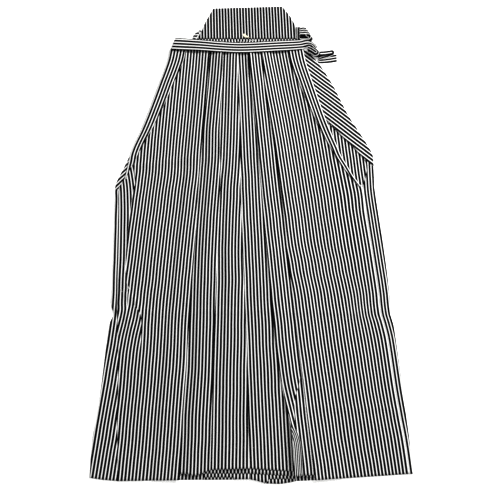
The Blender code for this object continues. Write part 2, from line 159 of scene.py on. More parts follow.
# How far each strip's stripes lean from the garment's length, in degrees. Plus leans like /.
LEANS = table(
    "y tuck s0 s1 s2 s3 s4 s5 wrap_right opening",
    (430, 0, 3.1, 3.3, 1.7, -2.8, -5.3, -8.6, 45, -5),
    (230, 0, 3.1, 3.0, 1.4, -2.8, -5.3, -8.6, 45, -5),
    (150, -8, 2.2, 2.7, 1.2, -2.7, -5.3, -7.6, 45, -5),
    (120, -13, 1.6, 2.6, 1.2, -2.7, -5.3, -7.4, 45, -5),
    (92, -9, 4.6, 2.4, 1.1, -2.7, -5.3, -6.8, 45, -5),
    (76, -6.5, 5.2, 2.4, 1.1, -2.7, -5.3, -6.5, 40, -5),
    (68, -5.5, 5.2, 2.4, 1.1, -2.7, -5.3, -6.5, 0, -5),
    (40, -3.5, 4.8, 2.1, 0.9, -2.6, -5.3, -6.0, -1, -5),
    (-20, -2, 4.3, 1.9, 0.8, -2.6, -5.3, -5.9, -1.5, -5),
    (-110, -1.0, 3.6, 1.5, 0.6, -2.5, -5.3, -6.0, -1.5, -5),
    (-160, 0, 3.1, 1.3, 0.5, -2.5, -5.3, -6.0, -1, -5),
    (-200, 1, 2.9, 1.2, 0.4, -2.5, -5.3, -6.3, 4, -5),
    (-260, 2, 2.6, 1.0, 0.3, -2.4, -5.3, -6.5, 6.5, -5),
    (-520, 3, 3.0, 0.8, 0.2, -2.4, -5.3, -6.6, 6.0, -5),
)
# Where a stripe lies on each strip: at height y the point x is this share of the way from one
# black stripe's middle to the next. At WAIST_LINE a black stripe's middle lies on waist_x.
Anchor = namedtuple("Anchor", "y x share waist_x")
WAIST_LINE = 339
ANCHORS = {
    "tuck": Anchor(30, -276.4, 0.5, None),
    "s0": Anchor(-300, -258, 0.5, -98),
    "s1": Anchor(-400, -126, 0.1, -94.2),
    "s2": Anchor(-400, -74, 0.2, -61.3),
    "s3": Anchor(-400, -2, 0.35, -3.6),
    "s4": Anchor(-400, 72, 0.3, 0.8),
    "s5": Anchor(-100, 250.5, 0.5, 31.6),
    "wrap_right": Anchor(30, -284, 0.0, None),
    "opening": Anchor(180, 210, 0.0, None),
}
# Whether a black stripe or a white one lies on a strip's edge at its fold: the fold, the side
# that the strip lies on, and heights with whether the stripe is black. A black stripe there is
# the cloth's own stripe and also painted shade: it stands in for the shade in the fold's mouth
FOLD_DARK = 1.7
FoldMark = namedtuple("FoldMark", "fold side shades")
FOLD_MARKS = {
    "s0": FoldMark("fold_1", -1, [(175, True), (-168, True)]),
    "s1": FoldMark("fold_2", -1, [(220, True), (128, False), (-45, False), (-300, True)]),
    "s2": FoldMark("fold_3", -1, [(160, True), (60, True), (-45, True), (-140, False)]),
    "s5": FoldMark(
        "fold_5", 1, [(187, True), (140, True), (-45, False), (-160, False), (-275, False)]
    ),
}

# Line on the right leg's front where the tuck at the foot of its opening meets the open cloth
TUCK_LINE = table(
    "y x",
    (430, -172), (243, -221), (172, -246), (131, -250), (105, -248.4), (84, -246.6), (70, -249.5),
    (46, -252), (11, -255), (-64, -258.5), (-118, -256), (-145, -251), (-236, -250), (-510, -240),
)
# The crumpled line beside it: what lies on its left is pushed over, as far as the seam
CRUMPLE_LINE = table(
    "y x",
    (430, -160), (150, -232), (60, -240), (-100, -246), (-162, -240.6),
    (-178, -235.8), (-187, -226.4), (-199, -221.4), (-256, -219), (-510, -214),
)
# The strip beside fold 4 has a crease of its own near the hem, and stands up along its edge
EDGE_CREASE = table(
    "y x",
    (423, 10), (76, 48), (-216, 86), (-300, 96), (-329, 93.6), (-356, 84.8),
    (-390, 82.6), (-410, 84), (-428, 90), (-445, 94), (-499, 96.5),
)
EDGE_LEAN = table(
    "y lean", (-500, 8), (-430, 10), (-400, 13), (-350, 13), (-325, 9), (-300, 5.3)
)
# The slanting pleats beside the openings
SIDE_PLEAT_RIGHT = table(
    "y inner outer",
    (404, -147, -183), (372, -152, -188), (315, -173, -205), (243, -200, -227),
    (207, -216, -239), (172, -233, -253), (149, -243.5, -259.8), (131, -250.5, -261.8),
    (115, -258.6, -264.6), (104, -262.8, -266.4), (95, -266.2, -268.2),
)
SIDE_PLEAT_LEFT = table(
    "y inner outer",
    (404, 82, 117), (372, 87, 122), (315, 107, 138), (243, 135, 159),
    (207, 151, 171), (172, 168, 184), (149, 179, 192), (126, 193, 204),
    (101, 210, 217), (86, 222.5, 226.8), (77, 229.5, 232.4),
)
FLAP_EDGE = table(
    "y x",
    (423, 78), (372, 84), (315, 104), (243, 150), (229, 166),
    (196, 194), (173, 215.5), (148, 236.5), (129, 254.7), (123, 261),
)

# Fold edges that stand open: how high, and how far down from one y to another
LIFTS = table(
    "fold y_from y_to high reach",
    ("fold_1", 398, 335, 1.6, 12),
    ("fold_2", 402, 345, 2.4, 12),
    ("fold_3", 402, 330, 1.4, 10),
    ("fold_4", 404, 322, 4.2, 11),
    ("fold_5", 400, 350, 1.2, 12),
    ("fold_4", -352, -640, 9.5, 19),
    ("fold_5", -360, -560, 1.2, 16),
    ("fold_2", -380, -560, 1.5, 16),
    ("fold_3", -300, -560, 1.2, 16),
)
# Soft ridges and troughs of the front, each along one line
CREASES = table(
    "x0 y0 x1 y1 width high",
    (-262, 122, -170, 136, 7, 1.3), (-170, 136, -60, 150, 6, 0.9), (-60, 150, 60, 154, 6, 0.7),
    (60, 154, 150, 160, 6, 0.9), (150, 160, 235, 156, 7, 1.1), (-255, 108, -120, 124, 9, -0.5),
    (80, 140, 230, 142, 9, -0.4), (-285, -184, -180, -192, 7, 1.1), (-180, -192, 20, -188, 6, 0.8),
    (20, -188, 200, -192, 6, 0.8), (200, -192, 280, -186, 7, 1.1),
    (-262, -150, -238, -170, 5, 2.0), (-245, -152, -222, -197, 5, 2.3),
    (-280, -160, -268, -198, 6, 2.4), (-270, -140, -262, -190, 6, -0.7),
    (-252, -190, -240, -232, 6, 1.5), (60, -372, 285, -380, 6, 0.9),
    (-250, -372, -150, -378, 6, 0.5), (-205, 120, -160, 60, 16, 0.7),
    (-210, 10, -190, -110, 18, 0.9), (150, 60, 175, -60, 18, 0.9), (-170, 330, -185, 220, 14, 0.8),
    (95, 340, 125, 240, 13, 0.8), (200, -260, 225, -420, 18, 1.0),
    (-200, -280, -215, -430, 18, 0.9), (150, -300, 160, -440, 14, -0.4),
    (-40, -60, -36, -220, 10, 0.6), (62, -60, 74, -200, 10, 0.6),
)

# Smooth random waves: of the cloth's surface, and of the stripes, which are never quite straight
Wave = namedtuple("Wave", "high cell_x cell_y seed")
SURFACE_WAVES = [Wave(0.5, 34, 120, 3), Wave(0.35, 16, 60, 8)]
STRIPE_WAVES = [Wave(0.4, 60, 45, 21), Wave(0.2, 25, 22, 22)]
SIDE_PLEAT_WAVES = [Wave(0.3, 60, 45, 31)]
FLAP_WAVES = [Wave(0.3, 60, 45, 33)]

# Where something sets in: its start, and the length over which it does
Fade = namedtuple("Fade", "start length")
CLEAR_OF_BAND = Fade(TOP_ROW - 20, 60)      # creases, below
CREASE_END = Fade(-10, 20)                  # a crease, along its line
BAND_CORNER, BAND_CORNER_IN = Fade(402, 16), 9  # the right front's corner goes under the band
PUSHED = Fade(-162, 115)                    # two repeats pushed in beside the crumple, below
JOINED_BELOW, JOINED_ABOVE = Fade(-170, 24), Fade(128, 30)  # the tuck's stripes run on into s0's
JOIN_ROW = -182
BARB = (-287.2, 87.3)                       # corner from which the right turned side's barbs start
BARB_END = Fade(BARB[1] - 2, 18)
EDGE_STRIP = 8                              # outermost part of the left front
EDGE_HELD, EDGE_HELD_OUT = Fade(-60, 100), 1.2  # the stripe on it moves out by this, above
EDGE_STEERED = Fade(215, 140)               # stripes follow its edge, below
EDGE_REACH = Fade(-70, 62)                  # and from this far inside it
TIGHT, TIGHT_SHARE = Fade(-404, 22), 1.9    # stripes lie closer in fold 4's raised edge, below
GUSSET_FLARE = Fade(-430, 70)
BAND_GATHER = Fade(108, 20)                 # the band is gathered into the knot from here on


def ease(share):
    """0 to 1 with a soft start and end."""
    share = np.clip(share, 0, 1)
    return share * share * (3 - 2 * share)


def above(fade, y):
    """0 up to a fade's start, and 1 once past it by the fade's length."""
    return ease((y - fade.start) / fade.length)


def below(fade, y):
    """The same, downwards."""
    return ease((fade.start - y) / fade.length)


def plateau(distance, half, slope):
    return ease((half + slope - distance) / slope)


def along(chart, y, column):
    """The value of a table's column at height y, on a smooth curve through its rows."""
    rows = sorted(chart, key=lambda row: row.y)
    ys = np.array([row.y for row in rows], float)
    ys = np.concatenate([ys[:1] - 1, ys, ys[-1:] + 1])
    values = np.pad(np.array([getattr(row, column) for row in rows], float), 1, mode="edge")
    slopes = np.zeros(len(ys))
    slopes[1:-1] = (values[2:] - values[:-2]) / (ys[2:] - ys[:-2])
    y = np.clip(np.asarray(y, float), ys[1], ys[-2])
    i = np.clip(np.searchsorted(ys, y) - 1, 1, len(ys) - 3)
    span = ys[i + 1] - ys[i]
    t = (y - ys[i]) / span
    return (
        values[i] * (2 * t**3 - 3 * t**2 + 1)
        + values[i + 1] * (3 * t**2 - 2 * t**3)
        + slopes[i] * span * (t**3 - 2 * t**2 + t)
        + slopes[i + 1] * span * (t**3 - t**2)
    )


def grown(sizes, y, top=TOP_ROW, foot=FOOT_ROW):
    """A size that grows evenly from the waist to the hem."""
    share = np.clip((top - np.asarray(y, float)) / (top - foot), 0, 1)
    return sizes.at_waist + (sizes.at_hem - sizes.at_waist) * share


def waves(x, y, parts):
    """Smooth random waves, each up to its height, with cells of its size."""
    total = 0
    for high, cell_x, cell_y, seed in parts:
        values = np.random.RandomState(seed).uniform(-1, 1, (64, 64))
        gx, gy = x / cell_x + 31.3, y / cell_y + 31.7
        ix, iy = np.floor(gx).astype(int), np.floor(gy).astype(int)
        tx, ty = ease(gx - ix), ease(gy - iy)
        ix, iy = ix % 63, iy % 63
        lower = values[iy, ix] * (1 - tx) + values[iy, ix + 1] * tx
        upper = values[iy + 1, ix] * (1 - tx) + values[iy + 1, ix + 1] * tx
        total = total + high * (lower * (1 - ty) + upper * ty)
    return total


def from_line(x, y, line):
    """Distance from points to a straight line between two points."""
    (x0, y0), (x1, y1) = line
    share = ((x - x0) * (x1 - x0) + (y - y0) * (y1 - y0)) / ((x1 - x0) ** 2 + (y1 - y0) ** 2)
    share = np.clip(share, 0, 1)
    return np.hypot(x - x0 - share * (x1 - x0), y - y0 - share * (y1 - y0))


def smooth_path(rows, steps):
    """Points on a smooth curve through the rows of values, steps to each span."""
    values = np.array(rows, float)
    padded = np.concatenate([values[:1], values, values[-1:]])
    t = np.arange(steps)[:, None] / steps
    made = []
    for before, low, high, after in zip(padded, padded[1:], padded[2:], padded[3:]):
        curve = 2 * low + (high - before) * t
        curve = curve + (2 * before - 5 * low + 4 * high - after) * t**2
        made.append(0.5 * (curve + (3 * low - before - 3 * high + after) * t**3))
    return np.concatenate(made + [values[-1:]])


# Heights of the layers


def stack_rise(x, y):
    """How far the back's pleats lift what lies on them."""
    half = grown(BACK_FOLD_OFF, y) + grown(BACK_FOLD_DEPTH, y)
    return 2 * PITCH * plateau(np.abs(x - grown(CENTRE, y)), half + STACK_MARGIN, STACK_SLOPE)


def gusset_half(y):
    return grown(GUSSET_HALF, y, GUSSET_TOP, GUSSET_HEM)


def gusset_rise(x, y):
    """How far the gusset lifts the front."""
    down = plateau(y - GUSSET_CLEAR, 0, GUSSET_FLAT - GUSSET_CLEAR)
    beside = np.abs(x - grown(CENTRE, y))
    return PITCH * down * plateau(beside, gusset_half(y) + GUSSET_MARGIN, GUSSET_SLOPE)


def side_rise(x, y):
    """How far the turned sides of the back lift the front along its openings."""
    right = plateau(OPENING_CLEAR_RIGHT - y, 0, OPENING_CLEAR_RIGHT - OPENING_FOOT_RIGHT)
    left = plateau(OPENING_CLEAR_LEFT - y, 0, OPENING_CLEAR_LEFT - OPENING_FOOT_LEFT)
    from_right = x - along(LEVELS, y, "turn_right")
    from_left = along(LEVELS, y, "turn_left") - x
    return PITCH * np.maximum(
        right * plateau(from_right, SEAM_MARGIN, SEAM_SLOPE),
        left * plateau(from_left, SEAM_MARGIN, SEAM_SLOPE),
    )


def relief(x, y):
    """Creases and soft waves, the same for every layer that lies at one place."""
    total = np.zeros(np.broadcast(x, y).shape)
    for c in CREASES:
        dx, dy = c.x1 - c.x0, c.y1 - c.y0
        length = math.hypot(dx, dy)
        run = ((x - c.x0) * dx + (y - c.y0) * dy) / length
        off = ((x - c.x0) * dy - (y - c.y0) * dx) / length
        off = off + 2.2 * np.sin(run / 17 + c.x0) + 1.2 * np.sin(run / 7 + c.y0)
        shown = above(CREASE_END, run) * above(CREASE_END, length - run)
        total = total + c.high * np.exp(-((off / c.width) ** 2)) * shown
    low = below(CLEAR_OF_BAND, y)
    return np.maximum(total * low + (waves(x, y, SURFACE_WAVES) + 0.3) * low, -0.35)


def front_height(x, y):
    """Middle of the front's lowest layer."""
    return FRONT_LAYER + stack_rise(x, y) + gusset_rise(x, y) + side_rise(x, y) + relief(x, y)


def lift_at(name, x, fold, y):
    """How high a fold's edge stands open."""
    total = np.zeros(np.broadcast(x, y).shape)
    for lift in LIFTS:
        if lift.fold == name:
            middle, half = (lift.y_from + lift.y_to) / 2, (lift.y_from - lift.y_to) / 2
            down = ease(1.6 * (1 - np.abs(y - middle) / half))
            total = total + lift.high * down * ease(1 - np.abs(x - fold) / lift.reach)
    return total


# Places across the stripes, in millimetres: a black stripe's middle is at each whole repeat


def whole_repeats(length):
    return np.round(length / REPEAT) * REPEAT


def drift(strip, y):
    """How far a strip's stripes have moved sideways at height y, by their lean."""
    steps = np.arange(-520.0, 431.0, STEP)
    slopes = np.tan(np.radians(along(LEANS, steps, strip)))
    moved = np.concatenate([[0], np.cumsum((slopes[1:] + slopes[:-1]) / 2 * STEP)])
    return np.interp(y, steps, moved)


@lru_cache
def settle(strip):
    """Heights and sideways corrections that put a strip's stripes on its marks."""
    lean = math.radians(float(np.mean(along(LEANS, np.linspace(-500, 420, 30), strip))))
    anchor = ANCHORS[strip]
    middle = (anchor.x - drift(strip, anchor.y)) * math.cos(lean) - anchor.share * REPEAT
    marks = [] if anchor.waist_x is None else [(WAIST_LINE, anchor.waist_x)]
    if strip in FOLD_MARKS:
        fold, side, shades = FOLD_MARKS[strip]
        for y, dark in shades:
            # a black stripe set on a fold's edge also serves as painted shade in the fold's mouth
            off = FOLD_DARK if dark else FOLD_DARK + HALF_REPEAT
            marks.append((y, float(along(FOLDS, y, fold)) + side * off))
    settled = [(anchor.y, 0.0)]
    upwards = sorted(mark for mark in marks if mark[0] > anchor.y)
    downwards = sorted((mark for mark in marks if mark[0] <= anchor.y), reverse=True)
    for group in (upwards, downwards):
        moved = 0.0
        for y, x in group:
            missed = (x - drift(strip, y)) * math.cos(lean) - middle - moved
            moved += missed - whole_repeats(missed)
            settled.append((y, moved))
    heights, moves = zip(*sorted(settled))
    return lean, middle, np.array(heights), np.array(moves)


def across(strip, x, y, shift=0.0):
    """Place across the stripes of a strip."""
    lean, middle, heights, moves = settle(strip)
    step = np.clip(np.searchsorted(heights, y) - 1, 0, max(len(heights) - 2, 0))
    after = np.minimum(step + 1, len(heights) - 1)
    share = ease((y - heights[step]) / np.maximum(heights[after] - heights[step], 1))
    moved = moves[step] + (moves[after] - moves[step]) * share
    place = (x - drift(strip, y)) * math.cos(lean) - middle - moved
    return place + waves(x, y, STRIPE_WAVES) + shift


def across_wrap_left(x, y):
    """Stripes of the left leg's turned side: along the front's edge, then straight up."""
    inner = along(LEVELS, np.minimum(y, OPENING_CORNER), "turn_left")
    return WHITE_START + 1.065 * (x - inner) + 0.5 * waves(x, y, STRIPE_WAVES)


def across_wrap_right(x, y):
    """Barbs at half a right angle beside the opening's corner, straight below it."""
    name = "wrap_right"

    def raw(x, y):
        turned = np.cos(np.radians(along(LEANS, y, name)))
        return (x - BARB[0] - drift(name, y) + drift(name, BARB[1])) * turned

    missed = float(raw(ANCHORS[name].x, ANCHORS[name].y))
    missed -= whole_repeats(missed)
    return raw(x, y) - missed * below(BARB_END, y) + waves(x, y, STRIPE_WAVES)


OWN_STRIPES = {"wrap_left": across_wrap_left, "wrap_right": across_wrap_right}


# Runs: parts of a cloth piece across its width, as grids with a line for each height. The
# heights y are one column, and each value below that depends on them is one too.

Run = namedtuple("Run", "x y z u")


def stretch(start, end, count):
    """Columns from start to end, which are values for each row."""
    return start + (end - start) * np.linspace(0, 1, count)


def hem_point(hem, x):
    """Height of a hem at x."""
    return np.interp(x, [point.x for point in hem], [point.y for point in hem])


def hemmed(y, x, hem):
    """Rows below HEM_START are stretched so that the last one lies on the hem."""
    share = np.clip((HEM_START - y) / (HEM_START - FOOT_ROW), 0, 1)
    return np.where(share > 0, HEM_START + share * (hem_point(hem, x) - HEM_START), y)


def row_at(y, height):
    return np.argmin(np.abs(y - height))


def climb(y, name, opens):
    """Where a strip starts to climb on to its pleat, and where it is all the way up."""
    up = along(FOLDS, y, name) - opens * grown(PLEAT_DEPTHS[name], y) - opens * CLIMB_CLEAR
    return up - opens * grown(PLEAT_SLOPE, y), up


def knife_pleat(y, name, opens, upper, lower):
    """Runs of a three layer pleat, from where its top strip has climbed to its hidden end."""
    fold = along(FOLDS, y, name)
    hidden, tip = fold - opens * grown(PLEAT_DEPTHS[name], y), fold - opens * FOLD_REACH
    outer, inner = tip - opens * BEND, hidden + opens * BEND
    turn = np.linspace(math.pi / 2, -math.pi / 2, 7)
    past = np.linspace(0, math.pi * BEND, 7)
    top, under = stretch(hidden - opens * CLIMB_CLEAR, outer, 7), stretch(outer, inner, 5)
    bend, bottom = inner - opens * BEND * np.cos(turn), stretch(inner, fold, 5)
    parts = (  # x, layer, strip, and x where the same cloth would lie unfolded
        (top, 2.0, upper, top),
        (outer + opens * BEND * np.cos(turn), 1.5 + 0.5 * np.sin(turn), upper,
         outer + opens * past),
        (under, 1.0, upper, outer * 2 - under + opens * math.pi * BEND),
        (bend, 0.5 + 0.5 * np.sin(turn), lower, bend),
        (bottom, 0.0, lower, bottom),
    )
    runs = []
    for x, layer, strip, unfolded in parts:
        z = front_height(x, y) + layer * PITCH
        if strip == upper:
            z = z + lift_at(name, x, tip, y)
        placed = hemmed(y, x, HEMS[strip])
        runs.append(Run(x, placed, z, across(strip, unfolded, placed)))
    return runs


def open_strip(y, start, end, count, strip, layers_up=0, hem=None):
    """One visible strip of the front, from one fold to where the next one climbs."""
    x = stretch(start, end, count)
    placed = hemmed(y, x, HEMS[hem or strip])
    z = front_height(x, y) + layers_up * ease(np.linspace(0, 1, count)) * PITCH
    return Run(x, placed, z, across(strip, x, placed))


def front_right_runs(y):
    """The right leg's front, from its opening over pleats 1 to 3 to the centre."""
    start = along(LEVELS, y, "front_right") + BAND_CORNER_IN * above(BAND_CORNER, y)
    line = along(TUCK_LINE, y, "x")
    tuck = open_strip(y, start, line, 9, "tuck", hem="s0")
    pushed = 2 * REPEAT * below(PUSHED, y)
    whole = across("s0", tuck.x, tuck.y) + pushed
    joined = below(JOINED_BELOW, y) + above(JOINED_ABOVE, y)
    offset = whole_repeats((whole - tuck.u)[row_at(y, JOIN_ROW)].mean())
    runs = [tuck._replace(u=(tuck.u + offset) * (1 - joined) + whole * joined)]
    start = along(CRUMPLE_LINE, y, "x")
    crumpled = open_strip(y, line, start, 9, "s0")
    runs.append(crumpled._replace(u=crumpled.u + pushed))
    for name, strip, under, count in (
        ("fold_1", "s0", "s1", 30),
        ("fold_2", "s1", "s2", 9),
        ("fold_3", "s2", "s3", 10),
    ):
        foot, up = climb(y, name, 1)
        runs.append(open_strip(y, start, foot, count, strip))
        runs.append(open_strip(y, foot, up, 5, strip, 2))
        pleat = knife_pleat(y, name, 1, strip, under)
        runs += pleat[:3] if name == "fold_3" else pleat
        start = along(FOLDS, y, name)
    return runs


def beside_fold_4(y):
    """The strip between folds 4 and 5: its even part, and its part up to fold 4's edge."""
    tip = along(FOLDS, y, "fold_4") + FOLD_REACH
    foot, up = climb(y, "fold_4", -1)
    line = along(EDGE_CREASE, y, "x")
    runs = []
    for x in (stretch(along(FOLDS, y, "fold_5"), line, 14), stretch(line, tip + BEND, 12)):
        placed = hemmed(y, x, HEMS["s4"])
        z = front_height(x, y) + 2 * PITCH * ease((foot - x) / (foot - up))
        runs.append(Run(x, placed, z + lift_at("fold_4", x, tip, y), across("s4", x, placed)))
    even, edge = runs
    steps = np.arange(-520.0, -299.0, STEP)
    leans = np.radians(along(EDGE_LEAN, steps, "lean"))
    extra = np.tan(leans) - math.tan(math.radians(EDGE_LEAN[-1].lean))
    leaning = edge.u - np.interp(edge.y, steps, np.cumsum(extra[::-1])[::-1] * STEP)
    tight = TIGHT_SHARE * (edge.x - line) + HALF_REPEAT
    tightened = below(TIGHT, y)
    return [even, edge._replace(u=leaning * (1 - tightened) + tight * tightened)]


def front_left_runs(y):
    """The left leg's front, from its opening over pleats 5 and 4 to the centre."""
    edge = along(LEVELS, y, "front_left")
    foot, up = climb(y, "fold_5", -1)
    strips = [
        open_strip(y, edge, edge - EDGE_STRIP, 7, "s5"),
        open_strip(y, edge - EDGE_STRIP, foot, 38, "s5"),
    ]
    # A white stripe follows the edge up to the opening's corner, and the rest fall in beside it
    at_edge = across("s5", edge, strips[0].y[:, :1])
    is_open, corner = y > OPENING_CORNER, row_at(y, OPENING_CORNER)
    white = WHITE_END + whole_repeats(np.mean(at_edge[y < OPENING_CORNER] - WHITE_END))
    missed = white + EDGE_HELD_OUT * above(EDGE_HELD, y) - at_edge
    missed = np.where(is_open, missed[corner], missed) * below(EDGE_STEERED, y)
    side = np.where(is_open, edge[corner], edge)
    runs = []
    for run in strips:
        moved = run.u + missed * above(EDGE_REACH, run.x - side)
        runs.append(run._replace(u=np.minimum(moved, np.where(is_open, np.inf, white))))
    runs.append(open_strip(y, foot, up, 5, "s5", 2))
    runs += knife_pleat(y, "fold_5", -1, "s5", "s4")
    runs += beside_fold_4(y)
    runs += knife_pleat(y, "fold_4", -1, "s4", "s3")[1:]
    start, fold = along(FOLDS, y, "fold_4"), along(FOLDS, y, "fold_3")
    hidden = fold - grown(PLEAT_DEPTHS["fold_3"], y) + FOLD_REACH
    return runs + [open_strip(y, start, fold, 13, "s3"), open_strip(y, fold, hidden, 6, "s3")]


def back_runs(y, side, outer, turn, wrap, under, pleat):
    """One leg's back, from its turned side round its outer edge to the pleat at the centre."""
    middle = grown(CENTRE, y)
    edge = along(LEVELS, y, outer) - side * (FOLD_REACH + BEND)
    fold = middle + side * grown(BACK_FOLD_OFF, y)
    hidden = fold + side * grown(BACK_FOLD_DEPTH, y)
    near, far = fold + side * BEND, hidden - side * BEND
    rounded = np.linspace(-math.pi / 2, math.pi / 2, 7)
    bulge, rise = side * BEND * np.cos(rounded), 0.5 + 0.5 * np.sin(rounded)
    runs = []
    for x, layer, strip, hem, shift, creased in (
        (stretch(along(LEVELS, y, turn), edge, 9), 1, wrap, BACK_HEM, 0, 0.5),
        (edge + bulge[::-1], rise[::-1], wrap, BACK_HEM, 0, 0),
        (stretch(edge, hidden, 26), 0, under, BACK_HEM, 0, 0),
        (stretch(hidden, near, 5), 0, pleat, BACK_HEM, HALF_REPEAT, 0),
        (near - bulge, rise, pleat, BACK_HEM, HALF_REPEAT, 0),
        (stretch(near, far, 5), 1, pleat, BACK_HEM, HALF_REPEAT, 0),
        (far + bulge, 1 + rise, pleat, BACK_PLEAT_HEM, 0, 0),
        (stretch(far, middle + side * GAP / 2, 20), 2, pleat, BACK_PLEAT_HEM, 0, 0),
    ):
        placed = hemmed(y, x, hem)
        z = FLOOR_LAYER + layer * PITCH + creased * relief(x, y)
        own = OWN_STRIPES.get(strip)
        u = own(x, placed) if own else across(strip, x, placed, shift)
        runs.append(Run(x, placed, z, u))
    return runs


# Materials


def feed(tree, node, inputs):
    """Set each of a node's inputs to its value, or link it to its socket."""
    for key, value in dict(inputs).items():
        if isinstance(value, bpy.types.NodeSocket):
            tree.links.new(value, node.inputs[key])
        else:
            node.inputs[key].default_value = value
    return node


def add_node(tree, kind, inputs=(), **settings):
    node = tree.nodes.new(kind)
    for key, value in settings.items():
        setattr(node, key, value)
    return feed(tree, node, inputs)


def math_node(tree, operation, *values):
    return add_node(tree, "ShaderNodeMath", enumerate(values), operation=operation).outputs[0]


def mixed(tree, share, low, high):
    inputs = {0: share, 6: low, 7: high}
    return add_node(tree, "ShaderNodeMix", inputs, data_type="RGBA").outputs[2]


def new_material(name):
    material = bpy.data.materials.new(name)
    material.use_nodes = True
    return material, material.node_tree, material.node_tree.nodes["Principled BSDF"]


WARP_WIDTH, WEFT_WIDTH = 0.00045, 0.00055
SOFT_EDGE = 0.035     # of a stripe, as a share of the repeat
EDGE_WOBBLE = 0.0003


def striped_cloth(name, black_half):
    """Plain weave of polyester in even stripes. U of the UV map runs across the stripes."""
    material, tree, shader = new_material(name)
    node, maths = partial(add_node, tree), partial(math_node, tree)
    uv = node("ShaderNodeUVMap", uv_map="cloth").outputs["UV"]
    u, v = node("ShaderNodeSeparateXYZ", {0: uv}).outputs[:2]
    ragged = node(
        "ShaderNodeTexNoise", {"Scale": 900, "Detail": 2, "Vector": uv}, noise_dimensions="2D"
    )
    wobble = maths("MULTIPLY_ADD", ragged.outputs["Fac"], EDGE_WOBBLE, -EDGE_WOBBLE / 2)
    repeats = maths("DIVIDE", maths("ADD", u, wobble), REPEAT * MM)
    ends = {"From Min": black_half, "From Max": black_half + SOFT_EDGE}
    ends["Value"] = maths("PINGPONG", repeats, 0.5)
    is_white = node("ShaderNodeMapRange", ends, interpolation_type="SMOOTHSTEP")
    threads = node("ShaderNodeMapping", {"Scale": (2400, 130, 1), "Vector": uv}).outputs[0]
    slub = node(
        "ShaderNodeTexNoise", {"Scale": 1, "Detail": 3, "Vector": threads}, noise_dimensions="2D"
    ).outputs["Fac"]
    dark = mixed(tree, slub, (0.003, 0.003, 0.0033, 1), (0.0066, 0.0066, 0.00759, 1))
    light = mixed(tree, slub, (0.7905, 0.7905, 0.7774, 1), (0.85, 0.85, 0.845, 1))
    warp = maths("SINE", maths("MULTIPLY", u, 2 * math.pi / WARP_WIDTH))
    weft = maths("SINE", maths("MULTIPLY", v, 2 * math.pi / WEFT_WIDTH))
    height = maths("MULTIPLY_ADD", slub, 0.8, maths("MULTIPLY", warp, weft))
    bump = node("ShaderNodeBump", {"Strength": 0.4, "Distance": 0.00006, "Height": height})
    feed(tree, shader, {
        "Base Color": mixed(tree, is_white.outputs["Result"], dark, light),
        "Normal": bump.outputs[0],
        "Roughness": maths("MULTIPLY_ADD", slub, 0.12, 0.6),
        "Sheen Weight": 0.02,
        "Sheen Roughness": 0.5,
        "Specular IOR Level": 0.06,
    })
    return material


def plain_finish(name, colour, rough, spread=0.06, scale=60):
    """Moulded plastic, thread or floor: one colour with faint cloudy variation."""
    material, tree, shader = new_material(name)
    place = add_node(tree, "ShaderNodeTexCoord").outputs["Object"]
    clouds = add_node(tree, "ShaderNodeTexNoise", {"Scale": scale, "Vector": place})
    faint = (*[c * (1 - spread) for c in colour], 1)
    base = mixed(tree, clouds.outputs["Fac"], faint, (*colour, 1))
    feed(tree, shader, {"Base Color": base, "Roughness": rough})
    return material


STRIPED = striped_cloth("striped_polyester", 0.305)
BOARD_STRIPED = striped_cloth("striped_polyester_board", 0.34)
# The knot's copy of the cloth has wider black stripes than the rest: painted shade of its tight
# folds
KNOT_SHADED_STRIPED = striped_cloth("striped_polyester_knot_shaded", 0.37)
CREAM = plain_finish("cream_plastic", (0.8, 0.76, 0.62), 0.35, scale=300)
WHITE_THREAD = plain_finish("white_thread", (0.8, 0.8, 0.77), 0.7, scale=900)
FLOOR = plain_finish("pale_floor", (0.93, 0.93, 0.92), 0.9, 0.01, 3)
lit_table = {"Emission Color": (1, 1, 1, 1), "Emission Strength": 0.35}
feed(FLOOR.node_tree, FLOOR.node_tree.nodes["Principled BSDF"], lit_table)


# Making pieces


def new_object(name, data):
    made = bpy.data.objects.new(name, data)
    bpy.context.collection.objects.link(made)
    return made


def finish_mesh(name, work, mesh, material):
    """An object of a closed mesh whose faces point outwards."""
    bmesh.ops.recalc_face_normals(work, faces=work.faces)
    work.to_mesh(mesh)
    work.free()
    mesh.materials.append(material)
    return new_object(name, mesh)


def new_piece(name, points, faces, uvs, material, merged=False):
    """A smooth piece of points in millimetres, with UVs in millimetres for its faces' corners."""
    mesh = bpy.data.meshes.new(name)
    mesh.from_pydata((points * MM).tolist(), [], faces)
    mesh.shade_smooth()
    layer = mesh.uv_layers.new(name="cloth")
    layer.data.foreach_set("uv", (uvs * MM).astype(np.float32).ravel())
    work = bmesh.new()
    work.from_mesh(mesh)
    if merged:
        bmesh.ops.remove_doubles(work, verts=work.verts, dist=1e-7)
    return finish_mesh(name, work, mesh, material)


def cell_corners(grid):
    """The values of a grid at the four corners of each of its cells."""
    return np.stack([grid[:-1, :-1], grid[:-1, 1:], grid[1:, 1:], grid[1:, :-1]], axis=2)


def closed_cloth(name, top, under, uvs, cell_uvs, material):
    """A closed piece between two grids of points, with UVs for its points and its cells."""
    ids = np.arange(top.shape[0] * top.shape[1]).reshape(top.shape[:2])
    cells = cell_corners(ids).reshape(-1, 4)
    cell_uvs = cell_uvs.reshape(-1, 4, 2)
    edge = np.concatenate([ids[0], ids[1:, -1], ids[-1, -2::-1], ids[-2:0:-1, 0]])
    after = np.roll(edge, -1)
    rim = np.stack([edge, edge + ids.size, after + ids.size, after], axis=1)
    rim_uvs = uvs.reshape(-1, 2)[np.stack([edge, edge, after, after], axis=1)]
    points = np.concatenate([top.reshape(-1, 3), under.reshape(-1, 3)])
    faces = np.concatenate([cells, cells[:, ::-1] + ids.size, rim])
    loops = np.concatenate([cell_uvs, cell_uvs[:, ::-1], rim_uvs])
    return new_piece(name, points, faces.tolist(), loops, material)


